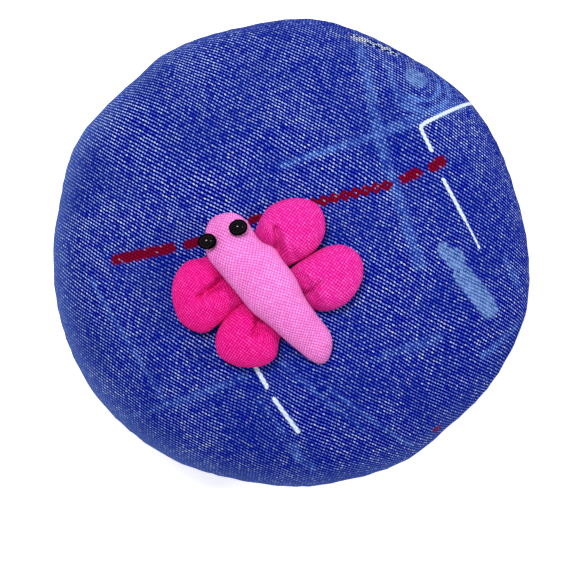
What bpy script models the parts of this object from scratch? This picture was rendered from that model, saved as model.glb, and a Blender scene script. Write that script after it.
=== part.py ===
"""Wrist pin cushion.

A round denim cushion on a webbing wrist strap, with a padded dragonfly sewn on top.
The strap closes under the cushion with a hook patch and a loop patch.

Frame: +X runs along the strap, +Z is up, and the origin is on the surface that the
closed strap rests on, under the middle of the cushion. Units are metres.
"""

import math

import bmesh
import bpy
from mathutils import Matrix, Vector
from mathutils.bvhtree import BVHTree

MM = 0.001

# Strap: a flat webbing band that bends under the cushion at both ends.
STRAP_WIDTH = 25.0 * MM
STRAP_THICKNESS = 1.4 * MM
STRAP_TOP_Z = 16.0 * MM
LOOP_HALF_WIDTH = 39.0 * MM
HOOK_TAIL_Z = 0.7 * MM
LOOP_TAIL_Z = 5.0 * MM
HOOK_TAIL_TIP_X = -26.0 * MM
LOOP_TAIL_TIP_X = -4.0 * MM
SPLIT_GAP_DEG = 2.0
MIDDLE_CLEAR_X = 11.0 * MM
BEND_STEPS = 4

# Hook and loop patches: a thin selvedge round a raised field.
PATCH_LENGTH = 20.0 * MM
PATCH_WIDTH = 22.0 * MM
PATCH_BASE = 0.5 * MM
PATCH_FIELD = 0.5 * MM
PATCH_CENTRE_X = -15.0 * MM
SELVEDGE = 1.8 * MM
PATCH_THREAD_INSET = 0.6 * MM
THREAD_WIDTH = 0.6 * MM
THREAD_HEIGHT = 0.3 * MM
THREAD_GAP = 0.15 * MM

# Box stitches that hold the strap to the cushion, sunk into grooves in its underside.
BOX_STITCH_SIDE = 15.0 * MM
BOX_STITCH_X = 21.0 * MM
BOX_STITCH_RECESS = 0.05 * MM

# Cushion: two fabric covers, joined by a seam at the widest place.
GAP = 0.3 * MM
CUSHION_RADIUS = 49.0 * MM
CUSHION_BASE_Z = STRAP_TOP_Z + GAP
SEAM_Z = 30.0 * MM
DOME_RISE = 20.0 * MM
DOME_POWER = 2.4
DOME_REACH = 0.9985
INNER_DOME_REACH = 0.985
BASE_FLAT_RADIUS = 34.0 * MM
BASE_TURN_DEG = 82.0
INNER_BASE_TURN_DEG = 80.0
COVER_WALL = 0.9 * MM
SEAM_ALLOWANCE = 6.5 * MM
SEAM_HALF_GAP = 0.15 * MM
SEAM_THREAD_RADIUS = 0.25 * MM
SEAM_FOLD = 0.9 * MM
SEAM_LIP = (0.35 * MM, 0.45 * MM)
SEAM_SHOULDER = 1.1 * MM
GUARD_RADIUS = 33.0 * MM
GUARD_THICKNESS = 1.5 * MM
ROUND_STEPS = 48

# Dragonfly body: head centre, direction towards the tail, and half widths along it.
BODY_ORIGIN = Vector((-13.0, 3.3)) * MM
BODY_DIRECTION = Vector((0.64, -0.77)).normalized()
BODY_SIDE = Vector((-BODY_DIRECTION.y, BODY_DIRECTION.x))
BODY_OUTLINE = (
    (-4.2, 0.8), (-3.4, 2.6), (-2.0, 4.1), (0.5, 5.3), (3.5, 5.7), (7.5, 5.6), (11.5, 5.9),
    (15.5, 5.6), (19.5, 4.8), (24.0, 4.3), (28.0, 3.8), (31.0, 2.5), (32.8, 0.8),
)
BODY_FLATNESS = 0.7
BODY_LIFT = 2.1 * MM
BODY_LIFT_START = -6.0 * MM
BODY_LIFT_END = 28.0 * MM
BODY_LIFT_RAMP = 6.0 * MM
BODY_WALL = 0.5 * MM
BODY_THINNEST = 0.35
HEAD_TIP_START = -2.0 * MM
HEAD_TIP_END = 4.2 * MM
TAIL_TIP_START = 28.0 * MM
TAIL_TIP_END = 32.8 * MM
BODY_SECTION_STEPS = 14
BODY_FILLING_STEPS = 10
BODY_SLIT_LENGTH = 9.0 * MM
BODY_SLIT_WIDTH = 0.9 * MM
BODY_SLIT_HEIGHT = 2.4 * MM
BODY_SLIT_AT = 12.0 * MM
CLOSING_THREAD_RADIUS = 0.18 * MM

# Wings: outlines seen from above, each starting and ending under the body.
WING_HEIGHT = 7.0 * MM
WING_WALL = 0.5 * MM
WING_EDGE_HEIGHT = 0.38
WING_BODY_GAP = 0.5 * MM
WING_THINNEST = 0.45
WING_RISE_START = 0.55
WING_RISE_SLOPE = 1.2
WING_MOUTH = (3.4 * MM, 2.4 * MM, 12.0 * MM)
WING_MOUTH_HEIGHT = 1.0 * MM
WING_TOP_POWER = 2.4
WING_UNDERSIDE_POWER = 6.0
WING_LEVELS = (
    (0.15, 1.0), (0.55, 1.0), (0.82, 1.0), (0.96, 1.0), (1.0, 0.0), (0.93, -1.0), (0.7, -1.0),
    (0.15, -1.0),
)
WING_STEPS = 18
WING_FILLING_STEPS = 12
GATHER_THREAD_RADIUS = 0.2 * MM
GATHER_THREAD_HALF_LENGTH = 1.3 * MM
GATHER_THREAD_HEIGHT = 1.2 * MM
GATHER_THREAD_SHIFT = 0.5 * MM
WING_OUTLINES = {
    "front_right_wing": (
        (-4.5, -4.4), (0.4, -2.3), (4.8, 0.4), (6.9, 4.5), (5.6, 9.2), (1.0, 10.7),
        (-4.2, 9.0), (-7.0, 4.5), (-8.0, -0.4),
    ),
    "rear_right_wing": (
        (-2.9, -6.5), (0.2, -3.3), (3.7, -1.0), (7.4, 1.0), (11.0, 1.2), (14.0, -1.2),
        (14.2, -5.6), (11.4, -10.0), (7.0, -11.9), (3.0, -11.2), (0.3, -10.4),
    ),
    "front_left_wing": (
        (-12.9, 0.4), (-17.0, -0.9), (-20.8, -2.0), (-23.2, -5.4), (-23.4, -9.8),
        (-21.8, -14.0), (-17.8, -15.8), (-14.6, -13.8), (-11.6, -10.9), (-7.2, -6.4),
    ),
    "rear_left_wing": (
        (-5.5, -8.3), (-9.3, -10.3), (-12.6, -12.8), (-14.8, -16.8), (-14.2, -20.6),
        (-10.6, -22.7), (-6.0, -22.8), (-2.9, -21.0), (-2.0, -17.4), (-0.7, -14.0),
    ),
}

# Bead eyes: place along and across the body, on top of the head.
BEAD_RADIUS = 1.85 * MM
BEAD_HALF_LENGTH = 1.5 * MM
BEAD_HOLE_RADIUS = 0.55 * MM
BEAD_SECTION_STEPS = 10
BEAD_STEPS = 14
BEAD_PLACES = {"right": (0.8 * MM, 3.0 * MM), "left": (-1.0 * MM, -3.4 * MM)}
BEAD_DENT_DEPTH = 1.3 * MM
BEAD_DENT_RADIUS = 2.6 * MM
BEAD_THREAD_RADIUS = 0.2 * MM
BEAD_THREAD_TURN = 0.4 * MM
BEAD_THREAD_DROP = 0.9 * MM
BEAD_SEARCH_LOW = 6.0 * MM
BEAD_SEARCH_HIGH = 16.0 * MM

COLOURS = {
    "denim": ((0.035, 0.085, 0.36, 1.0), 0.9, 0.0),
    "navy_thread": ((0.02, 0.04, 0.14, 1.0), 0.8, 0.0),
    "fiberfill": ((0.86, 0.86, 0.84, 1.0), 0.95, 0.0),
    "guard_plastic": ((0.75, 0.77, 0.78, 1.0), 0.4, 0.0),
    "webbing": ((0.018, 0.03, 0.09, 1.0), 0.85, 0.0),
    "hook_tape": ((0.02, 0.022, 0.03, 1.0), 0.5, 0.0),
    "loop_tape": ((0.015, 0.017, 0.025, 1.0), 0.95, 0.0),
    "pale_pink_cotton": ((0.9, 0.27, 0.72, 1.0), 0.85, 0.0),
    "hot_pink_cotton": ((0.85, 0.025, 0.32, 1.0), 0.85, 0.0),
    "pink_thread": ((0.8, 0.05, 0.35, 1.0), 0.7, 0.0),
    "black_glass": ((0.004, 0.004, 0.005, 1.0), 0.08, 0.0),
    "black_thread": ((0.01, 0.01, 0.012, 1.0), 0.7, 0.0),
}


# ---------------------------------------------------------------- helpers

def clear_scene():
    for item in list(bpy.data.objects):
        bpy.data.objects.remove(item, do_unlink=True)


def material(name):
    found = bpy.data.materials.get(name)
    if found:
        return found
    colour, roughness, metallic = COLOURS[name]
    made = bpy.data.materials.new(name)
    made.use_nodes = True
    shader = made.node_tree.nodes["Principled BSDF"]
    shader.inputs["Base Color"].default_value = colour
    shader.inputs["Roughness"].default_value = roughness
    shader.inputs["Metallic"].default_value = metallic
    made.diffuse_color = colour
    return made


def add_object(name, data, material_name):
    made = bpy.data.objects.new(name, data)
    bpy.context.scene.collection.objects.link(made)
    data.materials.append(material(material_name))
    return made


def object_from_bmesh(name, bm, material_name, smooth=True):
    bmesh.ops.recalc_face_normals(bm, faces=bm.faces)
    mesh = bpy.data.meshes.new(name)
    bm.to_mesh(mesh)
    bm.free()
    if smooth:
        mesh.shade_smooth()
        mesh.set_sharp_from_angle(angle=math.radians(40.0))
    return add_object(name, mesh, material_name)


def lathe(name, profile, material_name, steps=ROUND_STEPS):
    """Turn a closed (radius, height) outline round the Z axis."""
    bm = bmesh.new()
    points = [bm.verts.new((radius, 0.0, height)) for radius, height in profile]
    edges = [bm.edges.new((a, b)) for a, b in zip(points, points[1:])]
    if profile[0][0] > 0.0 or profile[-1][0] > 0.0:
        edges.append(bm.edges.new((points[-1], points[0])))
    bmesh.ops.spin(
        bm, geom=points + edges, axis=(0, 0, 1), cent=(0, 0, 0),
        angle=math.tau, steps=steps,
    )
    bmesh.ops.remove_doubles(bm, verts=bm.verts, dist=1e-6)
    return object_from_bmesh(name, bm, material_name)


def loft(name, rings, material_name, pointed=True, smooth=True):
    """Bridge a row of rings into one closed body, with a cap on each end."""
    bm = bmesh.new()
    loops = [[bm.verts.new(point) for point in ring] for ring in rings]
    count = len(loops[0])
    for near, far in zip(loops, loops[1:]):
        for i in range(count):
            j = (i + 1) % count
            bm.faces.new((near[i], near[j], far[j], far[i]))
    caps = [bm.faces.new(loops[0]), bm.faces.new(loops[-1])]
    if pointed:
        bmesh.ops.poke(bm, faces=caps)
    return object_from_bmesh(name, bm, material_name, smooth)


def box(name, low, high, material_name):
    bm = bmesh.new()
    bmesh.ops.create_cube(bm, size=1.0)
    for vert in bm.verts:
        for i in range(3):
            vert.co[i] = low[i] if vert.co[i] < 0.0 else high[i]
    return object_from_bmesh(name, bm, material_name, smooth=False)


def cut(target, cutter, operation="DIFFERENCE"):
    """Leave a live Boolean on the target and hide its tool."""
    cutter.hide_render = True
    cutter.display_type = "WIRE"
    modifier = target.modifiers.new(operation.lower(), "BOOLEAN")
    modifier.operation = operation
    modifier.solver = "EXACT"
    modifier.object = cutter


def tube(name, points, radius, material_name):
    """A round thread through the given points, closed at both ends."""
    curve = bpy.data.curves.new(name, "CURVE")
    curve.dimensions = "3D"
    curve.bevel_depth = radius
    curve.bevel_resolution = 1
    curve.use_fill_caps = True
    spline = curve.splines.new("POLY")
    spline.points.add(len(points) - 1)
    for place, point in zip(spline.points, points):
        place.co = (*point, 1.0)
    return add_object(name, curve, material_name)


def hinge_empty(name, position, parent=None):
    made = bpy.data.objects.new(name, None)
    made.empty_display_size = 0.01
    bpy.context.scene.collection.objects.link(made)
    made.parent = parent
    origin = parent["world_position"] if parent else (0.0, 0.0, 0.0)
    made.location = Vector(position) - Vector(origin)
    made["world_position"] = tuple(position)
    return made


def hang_on(empty, pieces):
    """Parent pieces that were modelled in world coordinates to a hinge empty."""
    for piece in pieces:
        piece.parent = empty
        piece.data.transform(Matrix.Translation(-Vector(empty["world_position"])))


def smooth_closed(points, count):
    """Points spaced along a closed Catmull-Rom curve through the given outline."""
    total = len(points)
    result = []
    for k in range(count):
        place = k * total / count
        i = int(place)
        t = place - i
        a, b, c, d = (Vector(points[(i + offset) % total]) for offset in (-1, 0, 1, 2))
        result.append(0.5 * (2 * b + (c - a) * t + (2 * a - 5 * b + 4 * c - d) * t ** 2
                             + (3 * b - a - 3 * c + d) * t ** 3))
    return result


def ramp(value, start, end):
    t = min(1.0, max(0.0, (value - start) / (end - start)))
    return t * t * (3.0 - 2.0 * t)


# ---------------------------------------------------------------- cushion

def dome_height(radius, inset=0.0):
    """Height of the top cover's outer face, or of a face set inwards from it."""
    reach = CUSHION_RADIUS - inset
    share = min(1.0, radius / reach) ** DOME_POWER
    return SEAM_Z + (DOME_RISE - inset) * math.sqrt(1.0 - share)


def dome_points(inset, outer_radius, steps):
    """Outline of the dome from its crown out to a radius, closer together near the edge."""
    last = math.asin(min(1.0, outer_radius / (CUSHION_RADIUS - inset)))
    radii = [(CUSHION_RADIUS - inset) * math.sin(last * i / steps) for i in range(steps + 1)]
    return [(radius, dome_height(radius, inset)) for radius in radii]


def base_points(inset, steps, start_deg=0.0, end_deg=90.0):
    """Outline of the rounded lower edge, from the flat base up to the seam."""
    across = CUSHION_RADIUS - BASE_FLAT_RADIUS - inset
    down = SEAM_Z - CUSHION_BASE_Z - inset
    angles = [math.radians(start_deg + (end_deg - start_deg) * i / steps) for i in range(steps + 1)]
    return [(BASE_FLAT_RADIUS + across * math.sin(a), SEAM_Z - down * math.cos(a)) for a in angles]


def seam_edge(side):
    """The fold of a cover at the seam and the allowance turned inwards from it."""
    wall = COVER_WALL
    return [
        (CUSHION_RADIUS, SEAM_Z + side * SEAM_SHOULDER),
        (CUSHION_RADIUS - SEAM_LIP[0], SEAM_Z + side * SEAM_LIP[1]),
        (CUSHION_RADIUS - SEAM_FOLD, SEAM_Z + side * SEAM_HALF_GAP),
        (CUSHION_RADIUS - SEAM_ALLOWANCE, SEAM_Z + side * SEAM_HALF_GAP),
        (CUSHION_RADIUS - SEAM_ALLOWANCE, SEAM_Z + side * (SEAM_HALF_GAP + wall)),
        (CUSHION_RADIUS - wall - GAP, SEAM_Z + side * (SEAM_HALF_GAP + wall)),
    ]


def make_top_cover():
    outer = dome_points(0.0, DOME_REACH * CUSHION_RADIUS, 9)
    inner = dome_points(COVER_WALL, INNER_DOME_REACH * (CUSHION_RADIUS - COVER_WALL), 7)
    return lathe("top_cover", outer + seam_edge(1.0) + inner[::-1], "denim")


def make_back_cover():
    outer = [(0.0, CUSHION_BASE_Z)] + base_points(0.0, 6, end_deg=BASE_TURN_DEG)
    inner = base_points(COVER_WALL, 6, end_deg=INNER_BASE_TURN_DEG)
    inner.insert(0, (0.0, CUSHION_BASE_Z + COVER_WALL))
    return lathe("back_cover", outer + seam_edge(-1.0) + inner[::-1], "denim")


def make_seam_thread():
    centre = CUSHION_RADIUS - SEAM_THREAD_RADIUS
    profile = []
    for i in range(4):
        angle = math.tau * i / 4.0
        profile.append((centre + SEAM_THREAD_RADIUS * math.cos(angle),
                        SEAM_Z + SEAM_THREAD_RADIUS * math.sin(angle)))
    return lathe("rim_seam_thread", profile, "navy_thread")


def make_guard_disc():
    low = CUSHION_BASE_Z + COVER_WALL + GAP
    high = low + GUARD_THICKNESS
    profile = [(0.0, high), (GUARD_RADIUS, high), (GUARD_RADIUS, low), (0.0, low)]
    return lathe("wrist_guard_disc", profile, "guard_plastic")


def make_stuffing():
    """The filling, shaped by the covers, the seam allowance and the guard disc."""
    inset = COVER_WALL + GAP
    allowance = SEAM_HALF_GAP + COVER_WALL + GAP
    waist = CUSHION_RADIUS - SEAM_ALLOWANCE - GAP
    upper = dome_points(inset, INNER_DOME_REACH * (CUSHION_RADIUS - inset), 7)
    brim = upper[-1][0]
    floor = CUSHION_BASE_Z + COVER_WALL + 2 * GAP + GUARD_THICKNESS
    floor_deg = math.degrees(math.acos((SEAM_Z - floor) / (SEAM_Z - CUSHION_BASE_Z - inset)))
    lower = base_points(inset, 5, start_deg=floor_deg, end_deg=INNER_BASE_TURN_DEG)
    middle = [
        (brim, SEAM_Z + allowance), (waist, SEAM_Z + allowance),
        (waist, SEAM_Z - allowance), (lower[-1][0], SEAM_Z - allowance),
    ]
    return lathe("fiberfill_stuffing", upper + middle + lower[::-1] + [(0.0, floor)], "fiberfill")


# ---------------------------------------------------------------- dragonfly

def surface_point(place, height):
    """A point at a height above the dome, over a place seen from above."""
    return Vector((place.x, place.y, dome_height(place.length) + height))


def body_place(along, across):
    return BODY_ORIGIN + BODY_DIRECTION * along + BODY_SIDE * across


def body_half_width(along):
    """Half width of the body at a distance along it; zero off its ends."""
    stations = [(a * MM, w * MM) for a, w in BODY_OUTLINE]
    for (a0, w0), (a1, w1) in zip(stations, stations[1:]):
        if a0 <= along <= a1:
            return w0 + (w1 - w0) * (along - a0) / (a1 - a0)
    return 0.0


def body_lift(along):
    """Height of the body's underside above the cushion: raised where it lies on the wings."""
    rise = ramp(along, BODY_LIFT_START, BODY_LIFT_START + BODY_LIFT_RAMP)
    fall = ramp(along, BODY_LIFT_END - BODY_LIFT_RAMP, BODY_LIFT_END)
    return GAP + BODY_LIFT * rise * (1.0 - fall)


def bead_dent(along, across):
    """Depth by which the bead threads pull the top of the head in."""
    depth = 0.0
    for bead_along, bead_across in BEAD_PLACES.values():
        distance = math.hypot(along - bead_along, across - bead_across)
        depth += BEAD_DENT_DEPTH * math.exp(-((distance / BEAD_DENT_RADIUS) ** 2))
    return depth


def body_rings(inset, section_steps=BODY_SECTION_STEPS):
    """Sections of the body from head to tail, set inwards by a wall thickness."""
    rings = []
    for along, half_width in BODY_OUTLINE:
        along, half_width = along * MM, half_width * MM
        full_half_height = half_width * BODY_FLATNESS
        share = max(BODY_THINNEST, 1.0 - inset / half_width)
        half_height = max(full_half_height - inset, BODY_THINNEST * full_half_height)
        along += inset * ramp(-along, HEAD_TIP_START, HEAD_TIP_END)
        along -= inset * ramp(along, TAIL_TIP_START, TAIL_TIP_END)
        centre = body_lift(along) + full_half_height
        ring = []
        for i in range(section_steps):
            angle = math.tau * i / section_steps
            across = half_width * share * math.cos(angle)
            dent = bead_dent(along, across) * max(0.0, math.sin(angle))
            height = centre + half_height * math.sin(angle) - dent
            ring.append(surface_point(body_place(along, across), height))
        rings.append(ring)
    return rings


def make_body_cover():
    cover = loft("body_cover", body_rings(0.0), "pale_pink_cotton")
    cut(cover, loft("body_hollow_tool", body_rings(BODY_WALL), "pale_pink_cotton"))
    centre = surface_point(body_place(BODY_SLIT_AT, 0.0), BODY_LIFT + GAP)
    size = (BODY_SLIT_LENGTH, BODY_SLIT_WIDTH, BODY_SLIT_HEIGHT)
    cut(cover, turned_box("body_slit_tool", centre, size))

    start, end = (BODY_SLIT_AT + side * 0.4 * BODY_SLIT_LENGTH for side in (-1.0, 1.0))
    height = BODY_LIFT + GAP + 0.5 * BODY_WALL
    route = [surface_point(body_place(start + (end - start) * i / 4.0, 0.0), height)
             for i in range(5)]
    tube("body_closing_thread", route, CLOSING_THREAD_RADIUS, "pink_thread")
    return cover


def turned_box(name, centre, size):
    """A box whose length lies along the body's direction."""
    half = Vector(size) * 0.5
    made = box(name, -half, half, "pale_pink_cotton")
    made.location = centre
    made.rotation_euler.z = math.atan2(BODY_DIRECTION.y, BODY_DIRECTION.x)
    return made


def make_body_filling():
    rings = body_rings(BODY_WALL + GAP, BODY_FILLING_STEPS)
    return loft("body_filling", rings, "fiberfill")


def headroom(place):
    """Free height above the cushion for a wing: low under the body, rising beside it."""
    offset = place - BODY_ORIGIN
    along = offset.dot(BODY_DIRECTION)
    across = abs(offset.dot(BODY_SIDE))
    under_body = body_lift(along) - WING_BODY_GAP
    beside = max(0.0, across - WING_RISE_START * body_half_width(along))
    return min(WING_HEIGHT + GAP, under_body + WING_RISE_SLOPE * beside)


def wing_rings(outline, inset, steps=WING_STEPS):
    """Rings of a padded lobe, from the middle of its top, over its rim, to its underside."""
    points = [p * MM for p in smooth_closed([Vector(p) for p in outline], steps)]
    centre = sum(points, Vector((0.0, 0.0))) / len(points)
    rings = []
    for share, side in WING_LEVELS:
        if side > 0.0:
            power, reach = WING_TOP_POWER, 1.0 - WING_EDGE_HEIGHT
        else:
            power, reach = WING_UNDERSIDE_POWER, WING_EDGE_HEIGHT
        part = WING_EDGE_HEIGHT + side * reach * math.sqrt(max(0.0, 1.0 - share ** power))
        ring = []
        for point in points:
            spoke = point - centre
            place = centre + spoke * share * (1.0 - inset / spoke.length)
            room = headroom(place) - GAP
            sink = min(inset, WING_THINNEST * room)
            height = GAP + sink + (room - 2.0 * sink) * part
            ring.append(surface_point(place, height))
        rings.append(ring)
    return rings


def wing_root(outline):
    """Middle of the side of the wing that lies under the body."""
    return (Vector(outline[0]) + Vector(outline[-1])) * 0.5 * MM


def body_foot(place):
    """The nearest place on the body's centre line."""
    return BODY_ORIGIN + BODY_DIRECTION * (place - BODY_ORIGIN).dot(BODY_DIRECTION)


def make_wing(name, outline):
    cover = loft(name + "_cover", wing_rings(outline, 0.0), "hot_pink_cotton")
    hollow = loft(name + "_hollow_tool", wing_rings(outline, WING_WALL), "hot_pink_cotton")
    cut(cover, hollow)
    root = surface_point(wing_root(outline), WING_MOUTH_HEIGHT)
    cut(cover, turned_box(name + "_mouth_tool", root, WING_MOUTH))
    filling = wing_rings(outline, WING_WALL + 3.0 * GAP, WING_FILLING_STEPS)
    loft(name + "_filling", filling, "fiberfill")

    towards_body = (body_foot(wing_root(outline)) - wing_root(outline)).normalized()
    middle = wing_root(outline) + towards_body * GATHER_THREAD_SHIFT
    route = [surface_point(middle + BODY_DIRECTION * (side * GATHER_THREAD_HALF_LENGTH),
                           GATHER_THREAD_HEIGHT) for side in (-1.0, 1.0)]
    tube(name + "_gather_thread", route, GATHER_THREAD_RADIUS, "pink_thread")


# ---------------------------------------------------------------- bead eyes

def surface_tree(piece):
    """A search tree of a piece's outer faces."""
    mesh = piece.data
    return BVHTree.FromPolygons([v.co for v in mesh.vertices],
                                [tuple(p.vertices) for p in mesh.polygons])


def rest_on(tree, place, reach):
    """Lowest centre above a place that stays this far from the surface below it."""
    low, high = surface_point(place, BEAD_SEARCH_LOW), surface_point(place, BEAD_SEARCH_HIGH)
    for _ in range(30):
        middle = 0.5 * (low + high)
        if tree.find_nearest(middle)[3] > reach:
            high = middle
        else:
            low = middle
    return high


def make_bead(side, place, head):
    centre = rest_on(head, body_place(*place), BEAD_RADIUS + GAP)
    direction = Vector((BODY_DIRECTION.x, BODY_DIRECTION.y, 0.0))
    turn = direction.to_track_quat("Z", "Y").to_matrix().to_4x4()
    middle = 0.5 * (BEAD_RADIUS + BEAD_HOLE_RADIUS)
    swell = BEAD_RADIUS - middle
    profile = []
    for i in range(BEAD_SECTION_STEPS):
        angle = math.tau * i / BEAD_SECTION_STEPS
        profile.append((middle + swell * math.cos(angle), BEAD_HALF_LENGTH * math.sin(angle)))
    bead = lathe("bead_eye_" + side, profile, "black_glass", BEAD_STEPS)
    bead.matrix_world = Matrix.Translation(centre) @ turn

    near = BEAD_HALF_LENGTH + BEAD_THREAD_TURN
    far = BEAD_HALF_LENGTH + 2.0 * BEAD_THREAD_TURN
    drop = Vector((0.0, 0.0, -BEAD_THREAD_DROP))
    route = [centre - direction * far + drop, centre - direction * near,
             centre + direction * near, centre + direction * far + drop]
    tube("bead_thread_" + side, route, BEAD_THREAD_RADIUS, "black_thread")


# ---------------------------------------------------------------- strap

def strap_bend_radius(tail_z):
    """Middle radius of the half turn from the strap's middle run down to a tail."""
    return 0.5 * (STRAP_TOP_Z - 0.5 * STRAP_THICKNESS - tail_z)


def arc_point(side, tail_z, angle_deg):
    """A point on the half turn: 90 degrees is the middle run, -90 the tail."""
    radius = strap_bend_radius(tail_z)
    angle = math.radians(angle_deg)
    x = LOOP_HALF_WIDTH - radius + radius * math.cos(angle)
    return Vector((side * x, tail_z + radius + radius * math.sin(angle)))


def hinge_points(side, tail_z):
    """Upper and lower pivots, where the straightened strap keeps its length."""
    inset = (1.0 - math.pi / 4.0) * strap_bend_radius(tail_z)
    x = side * (LOOP_HALF_WIDTH - inset)
    upper = (x, 0.0, STRAP_TOP_Z - 0.5 * STRAP_THICKNESS - inset)
    return upper, (x, 0.0, tail_z + inset)


def webbing(name, centreline):
    """A band of webbing across Y whose middle follows points in the XZ plane."""
    rings = []
    for i, point in enumerate(centreline):
        before = centreline[max(0, i - 1)]
        after = centreline[min(len(centreline) - 1, i + 1)]
        forward = (after - before).normalized()
        normal = Vector((-forward.y, forward.x)) * (0.5 * STRAP_THICKNESS)
        half = 0.5 * STRAP_WIDTH
        ring = []
        for offset, y in ((normal, -half), (normal, half), (-normal, half), (-normal, -half)):
            spot = point + offset
            ring.append((spot.x, y, spot.y))
        rings.append(ring)
    return loft(name, rings, "webbing", pointed=False)


def bend(side, tail_z, start_deg, end_deg):
    steps = BEND_STEPS
    angles = [start_deg + (end_deg - start_deg) * i / steps for i in range(steps + 1)]
    return [arc_point(side, tail_z, angle) for angle in angles]


def make_strap():
    near, far = 45.0 + SPLIT_GAP_DEG, 45.0 - SPLIT_GAP_DEG
    left, right = bend(-1.0, LOOP_TAIL_Z, near, 90.0), bend(1.0, HOOK_TAIL_Z, 90.0, near)
    run_z = STRAP_TOP_Z - 0.5 * STRAP_THICKNESS
    run = [Vector((x, run_z)) for x in (-MIDDLE_CLEAR_X, MIDDLE_CLEAR_X)]
    middle = webbing("strap_middle", left + run + right)
    make_box_stitch("left", -1.0, middle)
    make_box_stitch("right", 1.0, middle)

    tails = (
        ("left", -1.0, LOOP_TAIL_Z, LOOP_TAIL_TIP_X, "strap_loop_tail"),
        ("right", 1.0, HOOK_TAIL_Z, HOOK_TAIL_TIP_X, "strap_hook_tail"),
    )
    empties = {}
    for word, side, tail_z, tip_x, tail_name in tails:
        upper, lower = hinge_points(side, tail_z)
        upper_empty = hinge_empty(word + "_upper_hinge", upper)
        lower_empty = hinge_empty(word + "_lower_hinge", lower, upper_empty)
        link = webbing("strap_bend_" + word, bend(side, tail_z, far, -far))
        rest = [Vector((tip_x + side * PATCH_LENGTH * 0.5, tail_z)), Vector((tip_x, tail_z))]
        tail = webbing(tail_name, bend(side, tail_z, -near, -90.0) + rest)
        hang_on(upper_empty, [link])
        hang_on(lower_empty, [tail])
        empties[word] = lower_empty
    return empties


def frame_plate(name, low, high, border, material_name):
    """A flat rectangular loop of thread."""
    plate = box(name, low, high, material_name)
    inside_low = (low[0] + border, low[1] + border, low[2] - MM)
    inside_high = (high[0] - border, high[1] - border, high[2] + MM)
    cut(plate, box(name + "_tool", inside_low, inside_high, material_name))
    return plate


def make_patch(name, material_name, face_z, up):
    """A patch whose back lies at face_z and whose field faces up (1) or down (-1)."""
    def span(near, far):
        return min(near, far), max(near, far)

    half = (0.5 * PATCH_LENGTH, 0.5 * PATCH_WIDTH)
    base_z = span(face_z, face_z + up * PATCH_BASE)
    field_z = span(face_z + up * 0.5 * PATCH_BASE, face_z + up * (PATCH_BASE + PATCH_FIELD))
    patch = box(name, (PATCH_CENTRE_X - half[0], -half[1], base_z[0]),
                (PATCH_CENTRE_X + half[0], half[1], base_z[1]), material_name)
    field = box(name + "_field_tool",
                (PATCH_CENTRE_X - half[0] + SELVEDGE, -half[1] + SELVEDGE, field_z[0]),
                (PATCH_CENTRE_X + half[0] - SELVEDGE, half[1] - SELVEDGE, field_z[1]),
                material_name)
    cut(patch, field, "UNION")

    near = face_z + up * (PATCH_BASE + THREAD_GAP)
    thread_z = span(near, near + up * THREAD_HEIGHT)
    inset = PATCH_THREAD_INSET
    thread = frame_plate(
        name + "_stitches",
        (PATCH_CENTRE_X - half[0] + inset, -half[1] + inset, thread_z[0]),
        (PATCH_CENTRE_X + half[0] - inset, half[1] - inset, thread_z[1]),
        THREAD_WIDTH, "navy_thread",
    )
    return [patch, thread]


def crossed_square(name, side, thread_width, low, high):
    """A square line with a cross in it, centred under one side of the strap's middle run."""
    grown = 0.5 * (thread_width - THREAD_WIDTH)
    half = 0.5 * BOX_STITCH_SIDE + grown
    centre = side * BOX_STITCH_X
    plate = box(name, (centre - half, -half, low), (centre + half, half, high), "navy_thread")
    bm = bmesh.new()
    inner = half - thread_width
    arm = 0.5 * thread_width * math.sqrt(2.0)
    for quarter in range(4):
        turn = Matrix.Rotation(quarter * math.pi / 2.0, 3, "Z")
        corners = ((inner, -inner + arm), (inner, inner - arm), (arm, 0.0))
        under = [bm.verts.new(turn @ Vector((x, y, low - MM)) + Vector((centre, 0, 0)))
                 for x, y in corners]
        over = [bm.verts.new(turn @ Vector((x, y, high + MM)) + Vector((centre, 0, 0)))
                for x, y in corners]
        bm.faces.new(under[::-1])
        bm.faces.new(over)
        for i in range(3):
            j = (i + 1) % 3
            bm.faces.new((under[i], under[j], over[j], over[i]))
    cut(plate, object_from_bmesh(name + "_corners_tool", bm, "navy_thread", smooth=False))
    return plate


def make_box_stitch(word, side, strap):
    """Stitches sunk into the strap's underside, so that it still lies flat on a wrist."""
    name = "box_stitch_" + word
    underside = STRAP_TOP_Z - STRAP_THICKNESS
    low = underside + BOX_STITCH_RECESS
    high = low + THREAD_HEIGHT
    crossed_square(name, side, THREAD_WIDTH, low, high)
    groove_width = THREAD_WIDTH + 2.0 * THREAD_GAP
    groove = crossed_square(name + "_groove_tool", side, groove_width,
                            underside - MM, high + THREAD_GAP)
    cut(strap, groove)


# ---------------------------------------------------------------- assembly

def main():
    clear_scene()

    make_top_cover()
    make_back_cover()
    make_seam_thread()
    make_guard_disc()
    make_stuffing()

    head = surface_tree(make_body_cover())
    make_body_filling()
    for name, outline in WING_OUTLINES.items():
        make_wing(name, outline)
    for side, place in BEAD_PLACES.items():
        make_bead(side, place, head)

    hinges = make_strap()
    hook_face = HOOK_TAIL_Z + 0.5 * STRAP_THICKNESS + GAP
    loop_face = LOOP_TAIL_Z - 0.5 * STRAP_THICKNESS - GAP
    hang_on(hinges["right"], make_patch("hook_patch", "hook_tape", hook_face, 1.0))
    hang_on(hinges["left"], make_patch("loop_patch", "loop_tape", loop_face, -1.0))


main()
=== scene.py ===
"""The looks of the wrist pin cushion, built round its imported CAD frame.

Shapes are worked out in millimetres and scaled to metres when a mesh is made. The cushion
is seen from straight above: +X to the right, +Y up the picture, +Z towards the camera.
"""

import math
import random
from functools import partialmethod

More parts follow.
